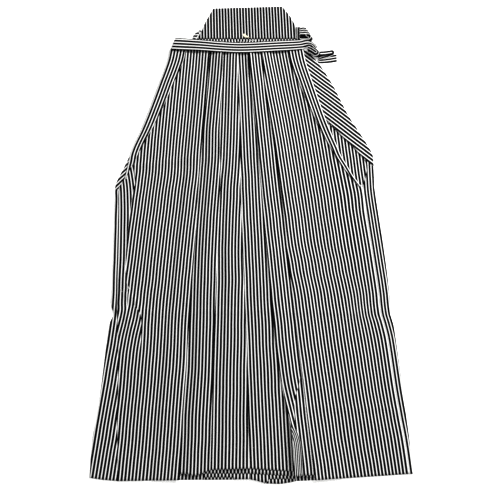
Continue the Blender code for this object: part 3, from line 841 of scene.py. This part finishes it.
def shell(name, runs, thickness):
    """A closed thin cloth round a grid of middle points, with the cloth's own UV map."""
    grids = [np.stack(np.broadcast_arrays(*run), axis=2) for run in runs]
    cell_uvs = np.concatenate([cell_corners(grid[:, :, [3, 1]]) for grid in grids], axis=1)
    grid = np.concatenate(grids[:1] + [grid[:, 1:] for grid in grids[1:]], axis=1)
    points, uvs = grid[:, :, :3], grid[:, :, [3, 1]]
    normals = np.cross(np.gradient(points, axis=1), np.gradient(points, axis=0))
    normals /= np.maximum(np.linalg.norm(normals, axis=2, keepdims=True), 1e-9)
    out = normals * thickness / 2
    return closed_cloth(name, points + out, points - out, uvs, cell_uvs, STRIPED)


def ringed(name, rings, uvs, end_uvs=None, material=STRIPED):
    """A piece through rings of points: with flat ends, or closed where its end rings shrink."""
    ids = np.arange(rings.shape[0] * rings.shape[1]).reshape(rings.shape[:2])
    beside = np.roll(ids, -1, axis=1)
    walls = np.stack([ids[:-1], beside[:-1], beside[1:], ids[1:]], axis=2).reshape(-1, 4)
    faces, loops = walls.tolist(), [uvs.reshape(-1, 2)[walls].reshape(-1, 2)]
    if end_uvs is not None:
        for ring, order in ((0, 1), (-1, -1)):
            faces.append(ids[ring, ::order].tolist())
            loops.append(end_uvs[ring, ::order])
    points, loops = rings.reshape(-1, 3), np.concatenate(loops)
    return new_piece(name, points, faces, loops, material, merged=end_uvs is None)


def lengths_along(points):
    steps = np.linalg.norm(np.diff(points, axis=0), axis=1)
    return np.concatenate([[0], np.cumsum(steps)])


def band_rings(centres, acrosses, spreads, thicknesses, u_halves, u_shifts, ridges, sides=26):
    """Rings of a flat band along a path, rounded at its sides, and UVs that run along it."""
    tangents = np.gradient(centres, axis=0)
    tangents /= np.linalg.norm(tangents, axis=1, keepdims=True)
    ups = np.cross(tangents, acrosses)
    ups /= np.linalg.norm(ups, axis=1, keepdims=True)
    turns = np.linspace(0, 2 * math.pi, sides, endpoint=False)
    side = np.sign(np.cos(turns)) * np.abs(np.cos(turns)) ** 0.55
    lift = np.sign(np.sin(turns)) * np.abs(np.sin(turns)) ** 0.8
    ridge = ridges[:, None] * np.cos(3 * math.pi * side) * np.maximum(lift, 0)
    up = lift * thicknesses[:, None] / 2 + ridge
    rings = centres[:, None] + acrosses[:, None] * (side * spreads[:, None])[..., None]
    rings = rings + ups[:, None] * up[..., None]
    halves, lengths = side * u_halves[:, None], lengths_along(centres)[:, None]
    end_uvs = np.stack(np.broadcast_arrays(halves, lengths), axis=2)
    uvs = np.stack(np.broadcast_arrays(halves + u_shifts[:, None], lengths), axis=2)
    return rings, uvs, end_uvs


def padded_plate(name, left, right, heights, counts, soft, uv_of, raised=None, material=STRIPED):
    """A cloth covered plate or cushion between two side edges, with rounded rims."""
    bottom, top = heights
    across_count, up_count = counts
    shares = np.linspace(0, 1, up_count)[:, None]
    ends = []
    for edge in (left, right):
        places = np.linspace(0, 1, len(edge))
        ends += [np.interp(shares, places, values) for values in zip(*edge)]
    y0, x0, y1, x1 = ends
    t = 0.5 - 0.5 * np.cos(np.linspace(0, math.pi, across_count))
    x, y = x0 + (x1 - x0) * t, y0 + (y1 - y0) * t
    height = y0[-1] - y0[0]
    beside = np.minimum(t, 1 - t) * (x1 - x0)
    inside = np.minimum(beside, np.minimum(shares * height + 0.4, (1 - shares) * height))
    drop = (1 - np.minimum(1.0, inside / soft)) ** 2
    z = top - (top - bottom) * 0.55 * drop
    if raised:
        z = z + raised(x, y) * (1 - drop)
    uvs = np.stack(uv_of(x, y), axis=2)
    shown, under = (np.stack([x, y, h], axis=2) for h in (z, np.full_like(x, bottom)))
    return closed_cloth(name, shown, under, uvs, cell_corners(uvs), material)


def cloth_on_body(made, node=None, **sheet):
    """Put a cloth piece on the body in its solid's place; what it was cut to, in sheet, is not
    used.
    """
    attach(made, "root")
    if node:
        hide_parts(node)


# Cloth panels


def lay_legs():
    y = np.linspace(TOP_ROW, FOOT_ROW, ROWS)[:, None]
    back_right = back_runs(y, -1, "back_right", "turn_right", "wrap_right", "s0", "s2")
    back_left = back_runs(y, 1, "back_left", "turn_left", "wrap_left", "opening", "s3")
    for name, runs, flat, area, rests_on, node in (
        ("back_right", back_right, (0.47, 0.93), 0.34, [], "back_leg_right"),
        ("back_left", back_left, (0.47, 0.93), 0.34, [], "back_leg_left"),
        ("front_right", front_right_runs(y), (0.51, 0.93), 0.35, ["back_right"], "front_leg_right"),
        ("front_left", front_left_runs(y), (0.5, 0.93), 0.34, ["back_left"], "front_leg_left"),
    ):
        made = shell(name, runs, THREAD)
        cloth_on_body(made, node, flat=flat, held="laid", rests_on=rests_on, area=area)


GUSSET_SHIFT = 3.3


def lay_gusset():
    y = np.linspace(GUSSET_TOP, GUSSET_HEM, 60)[:, None]
    middle, half = grown(CENTRE, y), gusset_half(y)
    x = stretch(middle - half, middle + half, 40)
    placed = y + below(GUSSET_FLARE, y) * (hem_point(GUSSET_EDGE, x) - GUSSET_HEM)
    run = Run(x, placed, TURN_LAYER + stack_rise(x, y), across("s2", x, placed, GUSSET_SHIFT))
    cloth_on_body(
        shell("gusset", [run], THREAD), "crotch_gusset",
        flat=(0.25, 0.38), held="laid", rests_on=["back_right", "back_left"], area=0.057,
    )


def lay_side_pleat(name, chart, node, on):
    """The slanting pleat on the edge of an opening, with its stripes along its outer edge."""
    y = np.linspace(chart[0].y, chart[-1].y, 90)[:, None]
    outer = along(chart, y, "outer")
    x = stretch(along(chart, y, "inner"), outer, 9)
    shares = np.linspace(0, 1, 9)
    z = front_height(x, y) + PITCH + 0.9 * ease(1 - shares * 3) + 0.3 * np.sin(math.pi * shares)
    off = np.abs(x - outer) * math.cos(math.radians(17))
    run = Run(x, y, z, off + REPEAT * 0.30 + waves(x, y, SIDE_PLEAT_WAVES))
    cloth_on_body(
        shell(name, [run], THREAD), node,
        flat=(0.04, 0.32), held="laid", rests_on=[on], area=0.0085,
    )


FLAP_LEAN = math.radians(-50)
FLAP_TOP, FLAP_FOOT = 414, 123.5
FLAP_WIDENED = 0.91   # the flap is drawn on the slant, which widens its stripes


def lay_opening_flap():
    """The back's slanted edge, folded over beside the wearer's left opening."""
    y = np.linspace(FLAP_TOP, FLAP_FOOT, 90)[:, None]
    outer = along(LEVELS, y, "back_left") - 0.2
    x = stretch(np.minimum(along(FLAP_EDGE, y, "x"), outer - 1.2), outer, 14)
    z = FLOOR_LAYER + 1.25 * PITCH + 0.25 + 0.5 * relief(x, y)
    u = FLAP_WIDENED * (x * math.cos(FLAP_LEAN) - y * math.sin(FLAP_LEAN))
    run = Run(x, y, z, u + waves(x, y, FLAP_WAVES))
    cloth_on_body(
        shell("opening_flap", [run], FLAP_THREAD),
        flat=(0.09, 0.33), held="folded", rests_on=["back_left"], area=0.016,
    )


# Waistband, ties, knot and board

WAISTBAND = table(
    "x y z spread heading",
    (-135, 413.6, 6.5, 14.2, 0),
    (-158, 414.4, 6.5, 14.6, -6),
    (-171.5, 414.6, 6.5, 15.2, -14),
    (-175, 414.6, 7.65, 15.2, -15),
    (-171.5, 414.6, 8.8, 15.2, -14),
    (-147, 413.2, 8.9, 14.8, -3),
    (-112, 410.5, 9.5, 14.0, 0),
    (-72, 406.8, 9.6, 13.5, 0),
    (-30, 404.4, 9.6, 13.3, 0),
    (10, 405.6, 9.4, 13.3, 2),
    (55, 409, 8.4, 13.3, 3),
    (93, 412, 7.0, 13.1, 3),
    (112, 413.8, 6.6, 12.6, 0),
    (121, 415.4, 7.2, 10.5, -6),
    (131, 415.5, 8.0, 6.5, -22),
    (139, 410.8, 8.8, 5.4, -45),
    (144, 403.6, 9.0, 5.0, -62),
)
BAND_THICK, BAND_GATHERED_THICK = 1.5, 2.4
BAND_U_HALF, BAND_GATHERED_U_HALF = 13.4, 8.4
BAND_RIDGE = 0.8


def lay_waistband():
    path = smooth_path(WAISTBAND, 9)
    headings = np.radians(path[:, 4])
    acrosses = np.stack([-np.sin(headings), np.cos(headings), 0 * headings], axis=1)
    end = above(BAND_GATHER, path[:, 0]) * (path[:, 0] > 0)
    thick = BAND_THICK + BAND_GATHERED_THICK * end
    u_halves = BAND_U_HALF * (1 - end) + BAND_GATHERED_U_HALF * end
    band = band_rings(
        path[:, :3], acrosses, path[:, 3], thick, u_halves, 0 * end, BAND_RIDGE * end
    )
    cloth_on_body(
        ringed("waistband", *band), "front_waistband",
        flat=(0.028, 0.42), held="folded", rests_on=["front_right", "front_left"], area=0.0105,
    )


# The free end, folded three times. On its upper layer a black stripe runs round the white core.
TAIL_EDGES = table(
    "near_x near_y far_x far_y layer",
    (149.5, 395, 149, 384.5, 6.2),
    (157, 397.4, 157, 386, 4.8),
    (166, 399, 166, 387.5, 3.5),
    (176, 401, 176, 389.5, 3),
    (184.5, 402.6, 184.5, 391.5, 3),
    (187.5, 401, 187, 393, 2.5),
    (185, 400.5, 184, 390, 2),
    (172, 397, 172, 384, 2),
    (157, 392, 154, 378.5, 2),
    (151, 388, 149.5, 374, 1.5),
    (154, 385, 153, 370.5, 1),
    (173, 389, 173, 371.5, 1),
    (192, 393, 192, 374.5, 1),
)
TAIL_CLOTH, TAIL_THREAD, TAIL_FLOOR = 1.2, 0.9, 0.9
TAIL_U_HALF, TAIL_U_SHIFT = (7.4, 9.2), (-2.7, 0.4)  # on the upper layer and the lower ones
TAIL_CORE = ((150.0, 389.4), (181.0, 395.6))
TAIL_TOP_RINGS = 38
TAIL_SIDES = 60


def lay_tail():
    path = smooth_path(TAIL_EDGES, 8)
    near, far = path[:, :2], path[:, 2:4]
    z = TAIL_FLOOR + (path[:, 4] - 1) * (TAIL_CLOTH + GAP)
    spans = near - far
    spreads = np.linalg.norm(spans, axis=1) / 2
    acrosses = np.column_stack([spans / (2 * spreads[:, None]), 0 * z])
    under = ease(np.linspace(0, 1, len(z)) * 4 - 2.4)
    u_halves, u_shifts = (a * (1 - under) + b * under for a, b in (TAIL_U_HALF, TAIL_U_SHIFT))
    centres = np.column_stack([(near + far) / 2, z])
    thick = 0 * z + TAIL_THREAD
    rings, uvs, end_uvs = band_rings(
        centres, acrosses, spreads, thick, u_halves, u_shifts, 0 * z, TAIL_SIDES
    )
    x, y = rings[:TAIL_TOP_RINGS, :, 0], rings[:TAIL_TOP_RINGS, :, 1]
    core = np.stack([HALF_REPEAT + from_line(x, y, TAIL_CORE), x], axis=2)
    uvs[:TAIL_TOP_RINGS] = end_uvs[:TAIL_TOP_RINGS] = core
    cloth_on_body(
        ringed("tie_tail", rings, uvs, end_uvs), "front_tie_tail",
        flat=(0.018, 0.11), held="folded", rests_on=["front_tie_knot"], area=0.0018,
    )


KNOT_CENTRE = (140.0, 394.2, 8.8)
KNOT_RADII = (17.0, 9.4, 5.6)
KNOT_TURN = math.radians(-40)
KNOT_CORE = ((121.0, 409.0), (143.5, 391.0))
KNOT_ROLL, KNOT_ROLL_HIGH = 5.4, 0.9
KNOT_CLOSER = 1.25    # its stripes lie closer than the cloth's own


def tie_knot():
    """The knot: the gathered tie rolled over itself, so that its stripes curl round its end."""
    polar = np.linspace(0, math.pi, 33)[:, None]
    turn = np.linspace(0, 2 * math.pi, 64, endpoint=False)
    length = np.sin(polar) * np.cos(turn) * KNOT_RADII[0]
    width = np.sin(polar) * np.sin(turn) * KNOT_RADII[1]
    x = KNOT_CENTRE[0] + length * math.cos(KNOT_TURN) - width * math.sin(KNOT_TURN)
    y = KNOT_CENTRE[1] + length * math.sin(KNOT_TURN) + width * math.cos(KNOT_TURN)
    ring = from_line(x, y, KNOT_CORE)
    roll = KNOT_ROLL_HIGH * np.cos(2 * math.pi * (ring / KNOT_ROLL - 0.5))
    z = KNOT_CENTRE[2] + np.cos(polar) * KNOT_RADII[2] + np.maximum(np.cos(polar), 0) * roll
    uvs = np.stack([ring * KNOT_CLOSER, y], axis=2)
    rings = np.stack([x, y, z], axis=2)
    # its cloth's wider black stripes are painted shade
    cloth_on_body(ringed("tie_knot", rings, uvs, material=KNOT_SHADED_STRIPED), "front_tie_knot")


BOARD_THICK, BOARD_FOOT_THICK, PLATE_FLOOR = 4.5, 3.4, 0.15
BOARD_LEFT = table(
    "y x", (431.3, -123.4), (452.6, -112.1), (470.7, -105.8), (491, -96.2), (510, -86.8)
)
BOARD_RIGHT = table(
    "y x", (431.3, 105.8), (460.3, 102.9), (488.9, 89.8), (502, 80.8), (515, 71.2)
)
BOARD_FOOT, BOARD_FOOT_TOP = 423.3, 431
BOARD_LEAN, BOARD_SHIFT = math.radians(-2.0), 1.2
BOARD_CREASE, CREASE_DEEP, CREASE_HALF = 472.8, 0.45, 1.5


def board_uv(x, y, shift=BOARD_SHIFT):
    return x * math.cos(BOARD_LEAN) - y * math.sin(BOARD_LEAN) + shift, y


def board_crease(x, y):
    off = y - BOARD_CREASE - 1.2 * np.sin(x / 23)
    return -CREASE_DEEP * np.exp(-((off / CREASE_HALF) ** 2))


def board_pieces():
    heights = (PLATE_FLOOR, BOARD_THICK)
    board = padded_plate(
        "board", BOARD_LEFT, BOARD_RIGHT, heights, (64, 80), 2.2, board_uv, board_crease,
        BOARD_STRIPED,
    )
    cloth_on_body(board, "back_board")
    left, right = (
        [(BOARD_FOOT, edge[0].x), (BOARD_FOOT_TOP, edge[0].x)] for edge in (BOARD_LEFT, BOARD_RIGHT)
    )
    foot_uv = partial(board_uv, shift=BOARD_SHIFT + HALF_REPEAT)
    heights = (PLATE_FLOOR, BOARD_FOOT_THICK)
    foot = padded_plate("board_foot", left, right, heights, (60, 7), 1.6, foot_uv)
    cloth_on_body(foot, "back_board_strip")


# The left tie's bunch, from the waistband up: its sides, and the core that its stripes curl round
BUNCH_LEFT = table("y x", (425, 103.5), (459.2, 101.5))
BUNCH_OUTLINE = table(
    "y x",
    (425, 136.5), (430, 139), (435.3, 138), (440.6, 134.6),
    (446, 131.7), (451, 128.6), (456, 125), (459.2, 118),
)
BUNCH_CORE = ((112.5, 432.6), (128.5, 432.6))
BUNCH_HOOK, HOOK_HALF = ((123.0, 437.0), (129.5, 430.5)), 0.8
BUNCH_SIDE = 108.6
BUNCH_HIGH = 10.5
# Half width of the all-black core: partly black stripe, partly painted shade
CORE_HALF = 5.5


def bunch_stripe(x, y):
    """Level stripes above, which curl down round a rolled core at the bunch's foot. The core is
    all black: partly the tie's black stripe, partly painted shade in the roll's hollow.
    """
    wave = 0.8 * np.sin(x / 3.3) + 0.5 * np.sin(x / 1.9 + y / 4)
    ring = from_line(x, y, BUNCH_CORE)
    return np.select(
        [x < BUNCH_SIDE, from_line(x, y, BUNCH_HOOK) < HOOK_HALF, ring < CORE_HALF],
        [HALF_REPEAT + 1.05 * (x - BUNCH_SIDE + 4.8), HALF_REPEAT, 0.8 * (ring - CORE_HALF / 2)],
        2.2 + 1.27 * (ring - CORE_HALF) + wave * np.minimum(1, (ring - CORE_HALF) / 4),
    )


def bunch_folds(x, y):
    ring = from_line(x, y, BUNCH_CORE)
    core = -3.2 * np.exp(-(((ring - 2.4) / 1.6) ** 2))
    return core + 0.7 * np.cos(2 * math.pi * (bunch_stripe(x, y) / REPEAT - 0.5)) * (ring > 4)


def tie_bunch_left():
    """The left back tie, folded level beside the board, its lower folds rolled into a core."""
    made = padded_plate(
        "back_tie_bunch_left", BUNCH_LEFT, BUNCH_OUTLINE, (PLATE_FLOOR, BUNCH_HIGH), (60, 48), 4.0,
        lambda x, y: (bunch_stripe(x, y), x), bunch_folds,
    )
    cloth_on_body(made, "back_tie_left")


TIE_RIGHT = table(
    "x y z wide high heading",
    (-115.2, 452.3, 2.4, 2.2, 1.6, 242),
    (-121.6, 445.6, 2.8, 3.6, 2.4, 242),
    (-126.4, 438, 2.9, 4.6, 2.5, 244),
    (-129, 431.5, 2.5, 4.0, 1.9, 255),
)


def tie_bunch_right():
    """The right back tie, folded beside the board: its layers show as ridges along the bunch."""
    path = smooth_path(TIE_RIGHT, 7)
    lengths = lengths_along(path[:, :2])[:, None]
    x, y, z, wide, high, heading = np.hsplit(path, 6)
    turn = np.linspace(0, 2 * math.pi, 44, endpoint=False)
    ripple = 1 - 0.12 * (0.5 + 0.5 * np.cos(3 * turn + 0.6 * lengths / 9))
    side = wide * np.cos(turn) * ripple
    x, y = x - np.sin(np.radians(heading)) * side, y + np.cos(np.radians(heading)) * side
    stripe = y - 447 + HALF_REPEAT + 0.6 * np.sin(x / 2.3)
    ridge = 0.55 * np.cos(2 * math.pi * stripe / REPEAT) * np.maximum(np.sin(turn), 0)
    rings = np.stack([x, y, z + high * np.sin(turn) * ripple - ridge], axis=2)
    uvs = np.stack([stripe, x], axis=2)
    cloth_on_body(ringed("back_tie_bunch_right", rings, uvs, uvs), "back_tie_right")


SPATULA = [
    (-18.5, 440.6), (-17.3, 442.2), (-15.2, 442.4), (-13.4, 441), (-9, 436.8), (-5, 433.6),
    (-2.6, 432.6), (-2.4, 432.1), (-8, 432.05), (-14, 432.6), (-18, 435.6), (-19, 438.4),
]
SPATULA_THICK, SPATULA_ROUND = 1.6, 0.6


def spatula():
    """The small paddle that tucks into the sash, shown edge up at the board's foot."""
    work = bmesh.new()
    low = [work.verts.new(Vector((x, y, BOARD_THICK + GAP)) * MM) for x, y in SPATULA]
    raised = bmesh.ops.extrude_face_region(work, geom=[work.faces.new(low)])["geom"]
    top = [v for v in raised if isinstance(v, bmesh.types.BMVert)]
    bmesh.ops.translate(work, verts=top, vec=(0, 0, SPATULA_THICK * MM))
    edges = [e for e in work.edges if all(v in top for v in e.verts)]
    bmesh.ops.bevel(work, geom=edges, offset=SPATULA_ROUND * MM, segments=3, affect="EDGES")
    made = finish_mesh("spatula", work, bpy.data.meshes.new("spatula"), CREAM)
    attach(made, "root")
    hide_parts("waist_spatula")


# Sewing

UNEVEN, SEED = 0.15, 7
Stitch = namedtuple("Stitch", "spacing length thread turn")
BAND_STITCH = Stitch(7, 1.3, 0.3, 0.0)
BOARD_STITCH = Stitch(8, 1.3, 0.3, 0.0)
HEM_STITCH = Stitch(14, 0.9, 0.3, 0.0)
OPENING_TACK = Stitch(0.75, 3.0, 0.5, math.pi / 2)
BOARD_TACK = Stitch(0.6, 10.5, 0.6, math.pi / 2)


def stitch_tree():
    """Node tree: one raised stitch at even steps along each line of the mesh it is put on."""
    tree = bpy.data.node_groups.new("stitch_row", "GeometryNodeTree")
    node, maths = partial(add_node, tree), partial(math_node, tree)

    def socket(name, kind, side="INPUT"):
        return tree.interface.new_socket(name, in_out=side, socket_type="NodeSocket" + kind)

    def point(**parts):
        return node("ShaderNodeCombineXYZ", parts).outputs[0]

    socket("Geometry", "Geometry")
    for name, size in (
        ("Spacing", 0.008), ("Stitch length", 0.0014), ("Thread", 0.0003), ("Turn", 0.0),
        ("Unevenness", UNEVEN),
    ):
        socket(name, "Float").default_value = size
    socket("Seed", "Int")
    socket("Finish", "Material")
    socket("Geometry", "Geometry", "OUTPUT")
    given = node("NodeGroupInput").outputs
    thread, uneven = given["Thread"], given["Unevenness"]
    line = node("GeometryNodeMeshToCurve", {"Mesh": given["Geometry"]}).outputs["Curve"]
    steps = node(
        "GeometryNodeResampleCurve", {"Curve": line, "Length": given["Spacing"]}, mode="LENGTH"
    )
    half = maths("MULTIPLY", given["Stitch length"], 0.5)
    sunk = maths("MULTIPLY", thread, -0.4)
    arc = node("GeometryNodeCurveQuadraticBezier", {
        "Resolution": 5,
        "Start": point(X=maths("MULTIPLY", half, -1.0), Z=sunk),
        "Middle": point(Z=maths("MULTIPLY", thread, 1.1)),
        "End": point(X=half, Z=sunk),
    })
    round_thread = {"Resolution": 6, "Radius": maths("MULTIPLY", thread, 0.5)}
    section = node("GeometryNodeCurvePrimitiveCircle", round_thread)
    stitch = node("GeometryNodeCurveToMesh", {
        "Fill Caps": True,
        "Curve": arc.outputs["Curve"],
        "Profile Curve": section.outputs["Curve"],
    })
    tangent = node("GeometryNodeInputTangent").outputs[0]
    aimed = node("FunctionNodeAlignRotationToVector", {"Vector": tangent}, axis="X")
    spin = {"Rotation": aimed.outputs[0], "Rotate By": point(Z=given["Turn"])}
    turned = node("FunctionNodeRotateRotation", spin, rotation_space="LOCAL")
    limits = {2: maths("SUBTRACT", 1.0, uneven), 3: maths("ADD", 1.0, uneven)}
    scale = node("FunctionNodeRandomValue", {**limits, "Seed": given["Seed"]}, data_type="FLOAT")
    row = node("GeometryNodeInstanceOnPoints", {
        "Points": steps.outputs["Curve"],
        "Instance": stitch.outputs["Mesh"],
        "Rotation": turned.outputs[0],
        "Scale": scale.outputs[1],
    })
    real = node("GeometryNodeRealizeInstances", {"Geometry": row.outputs["Instances"]})
    finish = {"Geometry": real.outputs["Geometry"], "Material": given["Finish"]}
    finished = node("GeometryNodeSetMaterial", finish)
    node("NodeGroupOutput", {"Geometry": finished.outputs["Geometry"]})
    return tree


def surface_at(x, y):
    """Height of the cloth that shows at a place, in millimetres, or None beside it."""
    view = bpy.context.evaluated_depsgraph_get()
    start = Vector((x, y, 60)) * MM
    hit, where = bpy.context.scene.ray_cast(view, start, Vector((0, 0, -1)))[:2]
    return where.z / MM if hit and where.z > 0.1 * MM else None


def stitched(name, tree, stitch, lines):
    """Rows of stitches along lines of (x, y) points, laid on the cloth under them."""
    vertices, edges = [], []
    for line in lines:
        first = len(vertices)
        for x, y in line:
            z = surface_at(x, y)
            if z is not None:
                vertices.append(Vector((x, y, z + stitch.thread / 4)) * MM)
        edges += [(k, k + 1) for k in range(first, len(vertices) - 1)]
    guide = bpy.data.meshes.new(name + "_line")
    guide.from_pydata(vertices, edges, [])
    row = new_object(name + "_line", guide)
    sewing = row.modifiers.new("sewing", "NODES")
    sewing.node_group = tree
    values = {
        "Spacing": stitch.spacing * MM,
        "Stitch length": stitch.length * MM,
        "Thread": stitch.thread * MM,
        "Turn": stitch.turn,
        "Unevenness": UNEVEN,
        "Seed": SEED,
        "Finish": WHITE_THREAD,
    }
    for item in tree.interface.items_tree:
        if item.item_type == "SOCKET" and item.in_out == "INPUT" and item.name in values:
            sewing[item.identifier] = values[item.name]
    view = bpy.context.evaluated_depsgraph_get()
    mesh = bpy.data.meshes.new_from_object(row.evaluated_get(view))
    mesh.name = name
    bpy.data.objects.remove(row)
    mesh.shade_smooth()
    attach(new_object(name, mesh), "root")


def straight(x0, y0, x1, y1, count=3):
    return list(zip(np.linspace(x0, x1, count), np.linspace(y0, y1, count)))


BAND_EDGE_IN, BOARD_EDGE_IN, BOARD_TOP_IN = 1.4, 2.6, 3
HEM_SEWN = table(
    "strip x0 x1",
    ("s0", -250, -139), ("s1", -132, -84), ("s2", -72, -14),
    ("s3", 4, 70), ("s4", 97, 116), ("s5", 124, 292),
)


def sew():
    tree = stitch_tree()
    band = [b for b in WAISTBAND[5:] if b.x < 112]
    xs, feet = [b.x for b in band], [b.y - b.spread + BAND_EDGE_IN for b in band]
    foot = [(x, np.interp(x, xs, feet)) for x in np.linspace(-168, 108, 93)]
    stitched("waistband_sewing", tree, BAND_STITCH, [foot])
    sides = []
    for edge, inward in ((BOARD_LEFT, BOARD_EDGE_IN), (BOARD_RIGHT, -BOARD_EDGE_IN)):
        top = (edge[-1].x + inward, edge[-1].y - BOARD_TOP_IN)
        sides.append([(point.x + inward, point.y) for point in edge[:-1]] + [top])
    sides.append(straight(-83, 507.2, 67, 511.8, 16))
    sides.append(straight(-119, 432.4, 103, 432.4, 40))
    stitched("board_sewing", tree, BOARD_STITCH, sides)
    hems = []
    for strip, x0, x1 in HEM_SEWN:
        xs = np.linspace(x0, x1, int((x1 - x0) / 3) + 1)
        hems.append([(x, hem_point(HEMS[strip], x) + HEM_DEPTH) for x in xs])
    stitched("hem_sewing", tree, HEM_STITCH, hems)
    tacks = [
        straight(-265.5, -143, -262.5, -149),
        straight(-250.5, -138, -248, -143),
        straight(222, 85.5, 228, 84.5),
        straight(-270, 94, -264.5, 95.5),
    ]
    stitched("opening_tacks", tree, OPENING_TACK, tacks)
    stitched("board_tack", tree, BOARD_TACK, [straight(4.5, 426.3, 4.5, 427.6)])


# Floor, light and camera

FLOOR_HALF = 6
GAMMA = 0.66          # the photograph's tones are lighter in between than a straight render's
SKY = 0.55
LAMPS = table(
    "name place size power",
    ("key", (2.1, 1.8, 2.4), 1.3, 150),
    ("fill", (-2.0, 0.8, 3.2), 3.0, 24),
)


def studio():
    mesh = bpy.data.meshes.new("floor")
    corners = [(-1, -1), (1, -1), (1, 1), (-1, 1)]
    mesh.from_pydata([(x * FLOOR_HALF, y * FLOOR_HALF, 0) for x, y in corners], [], [(0, 1, 2, 3)])
    mesh.materials.append(FLOOR)
    new_object("floor", mesh)
    bpy.context.scene.view_settings.view_transform = "Standard"
    bpy.context.scene.view_settings.gamma = GAMMA
    world = bpy.data.worlds.new("studio")
    bpy.context.scene.world = world
    world.use_nodes = True
    sky = world.node_tree.nodes["Background"]
    feed(world.node_tree, sky, {"Color": (1, 1, 1, 1), "Strength": SKY})
    for name, place, size, power in LAMPS:
        light = bpy.data.lights.new(name, "AREA")
        light.size, light.energy = size, power
        lamp = new_object(name, light)
        lamp.location = place
        lamp.rotation_euler = (-Vector(place)).to_track_quat("-Z", "Y").to_euler()


def photo_camera():
    camera = bpy.data.cameras.new("photo_camera")
    camera.lens, camera.sensor_width = 43.2, 36
    made = new_object("photo_camera", camera)
    made.location = (-0.0027, -0.3620, 1.2039)
    made.rotation_euler = (math.radians(14.0467), 0, 0)
    bpy.context.scene.camera = made


lay_legs()
lay_gusset()
lay_side_pleat("side_pleat_right", SIDE_PLEAT_RIGHT, "front_side_pleat_right", "front_right")
lay_side_pleat("side_pleat_left", SIDE_PLEAT_LEFT, "front_side_pleat_left", "front_left")
lay_opening_flap()
lay_waistband()
lay_tail()
tie_knot()
board_pieces()
tie_bunch_left()
tie_bunch_right()
spatula()
sew()
studio()
photo_camera()
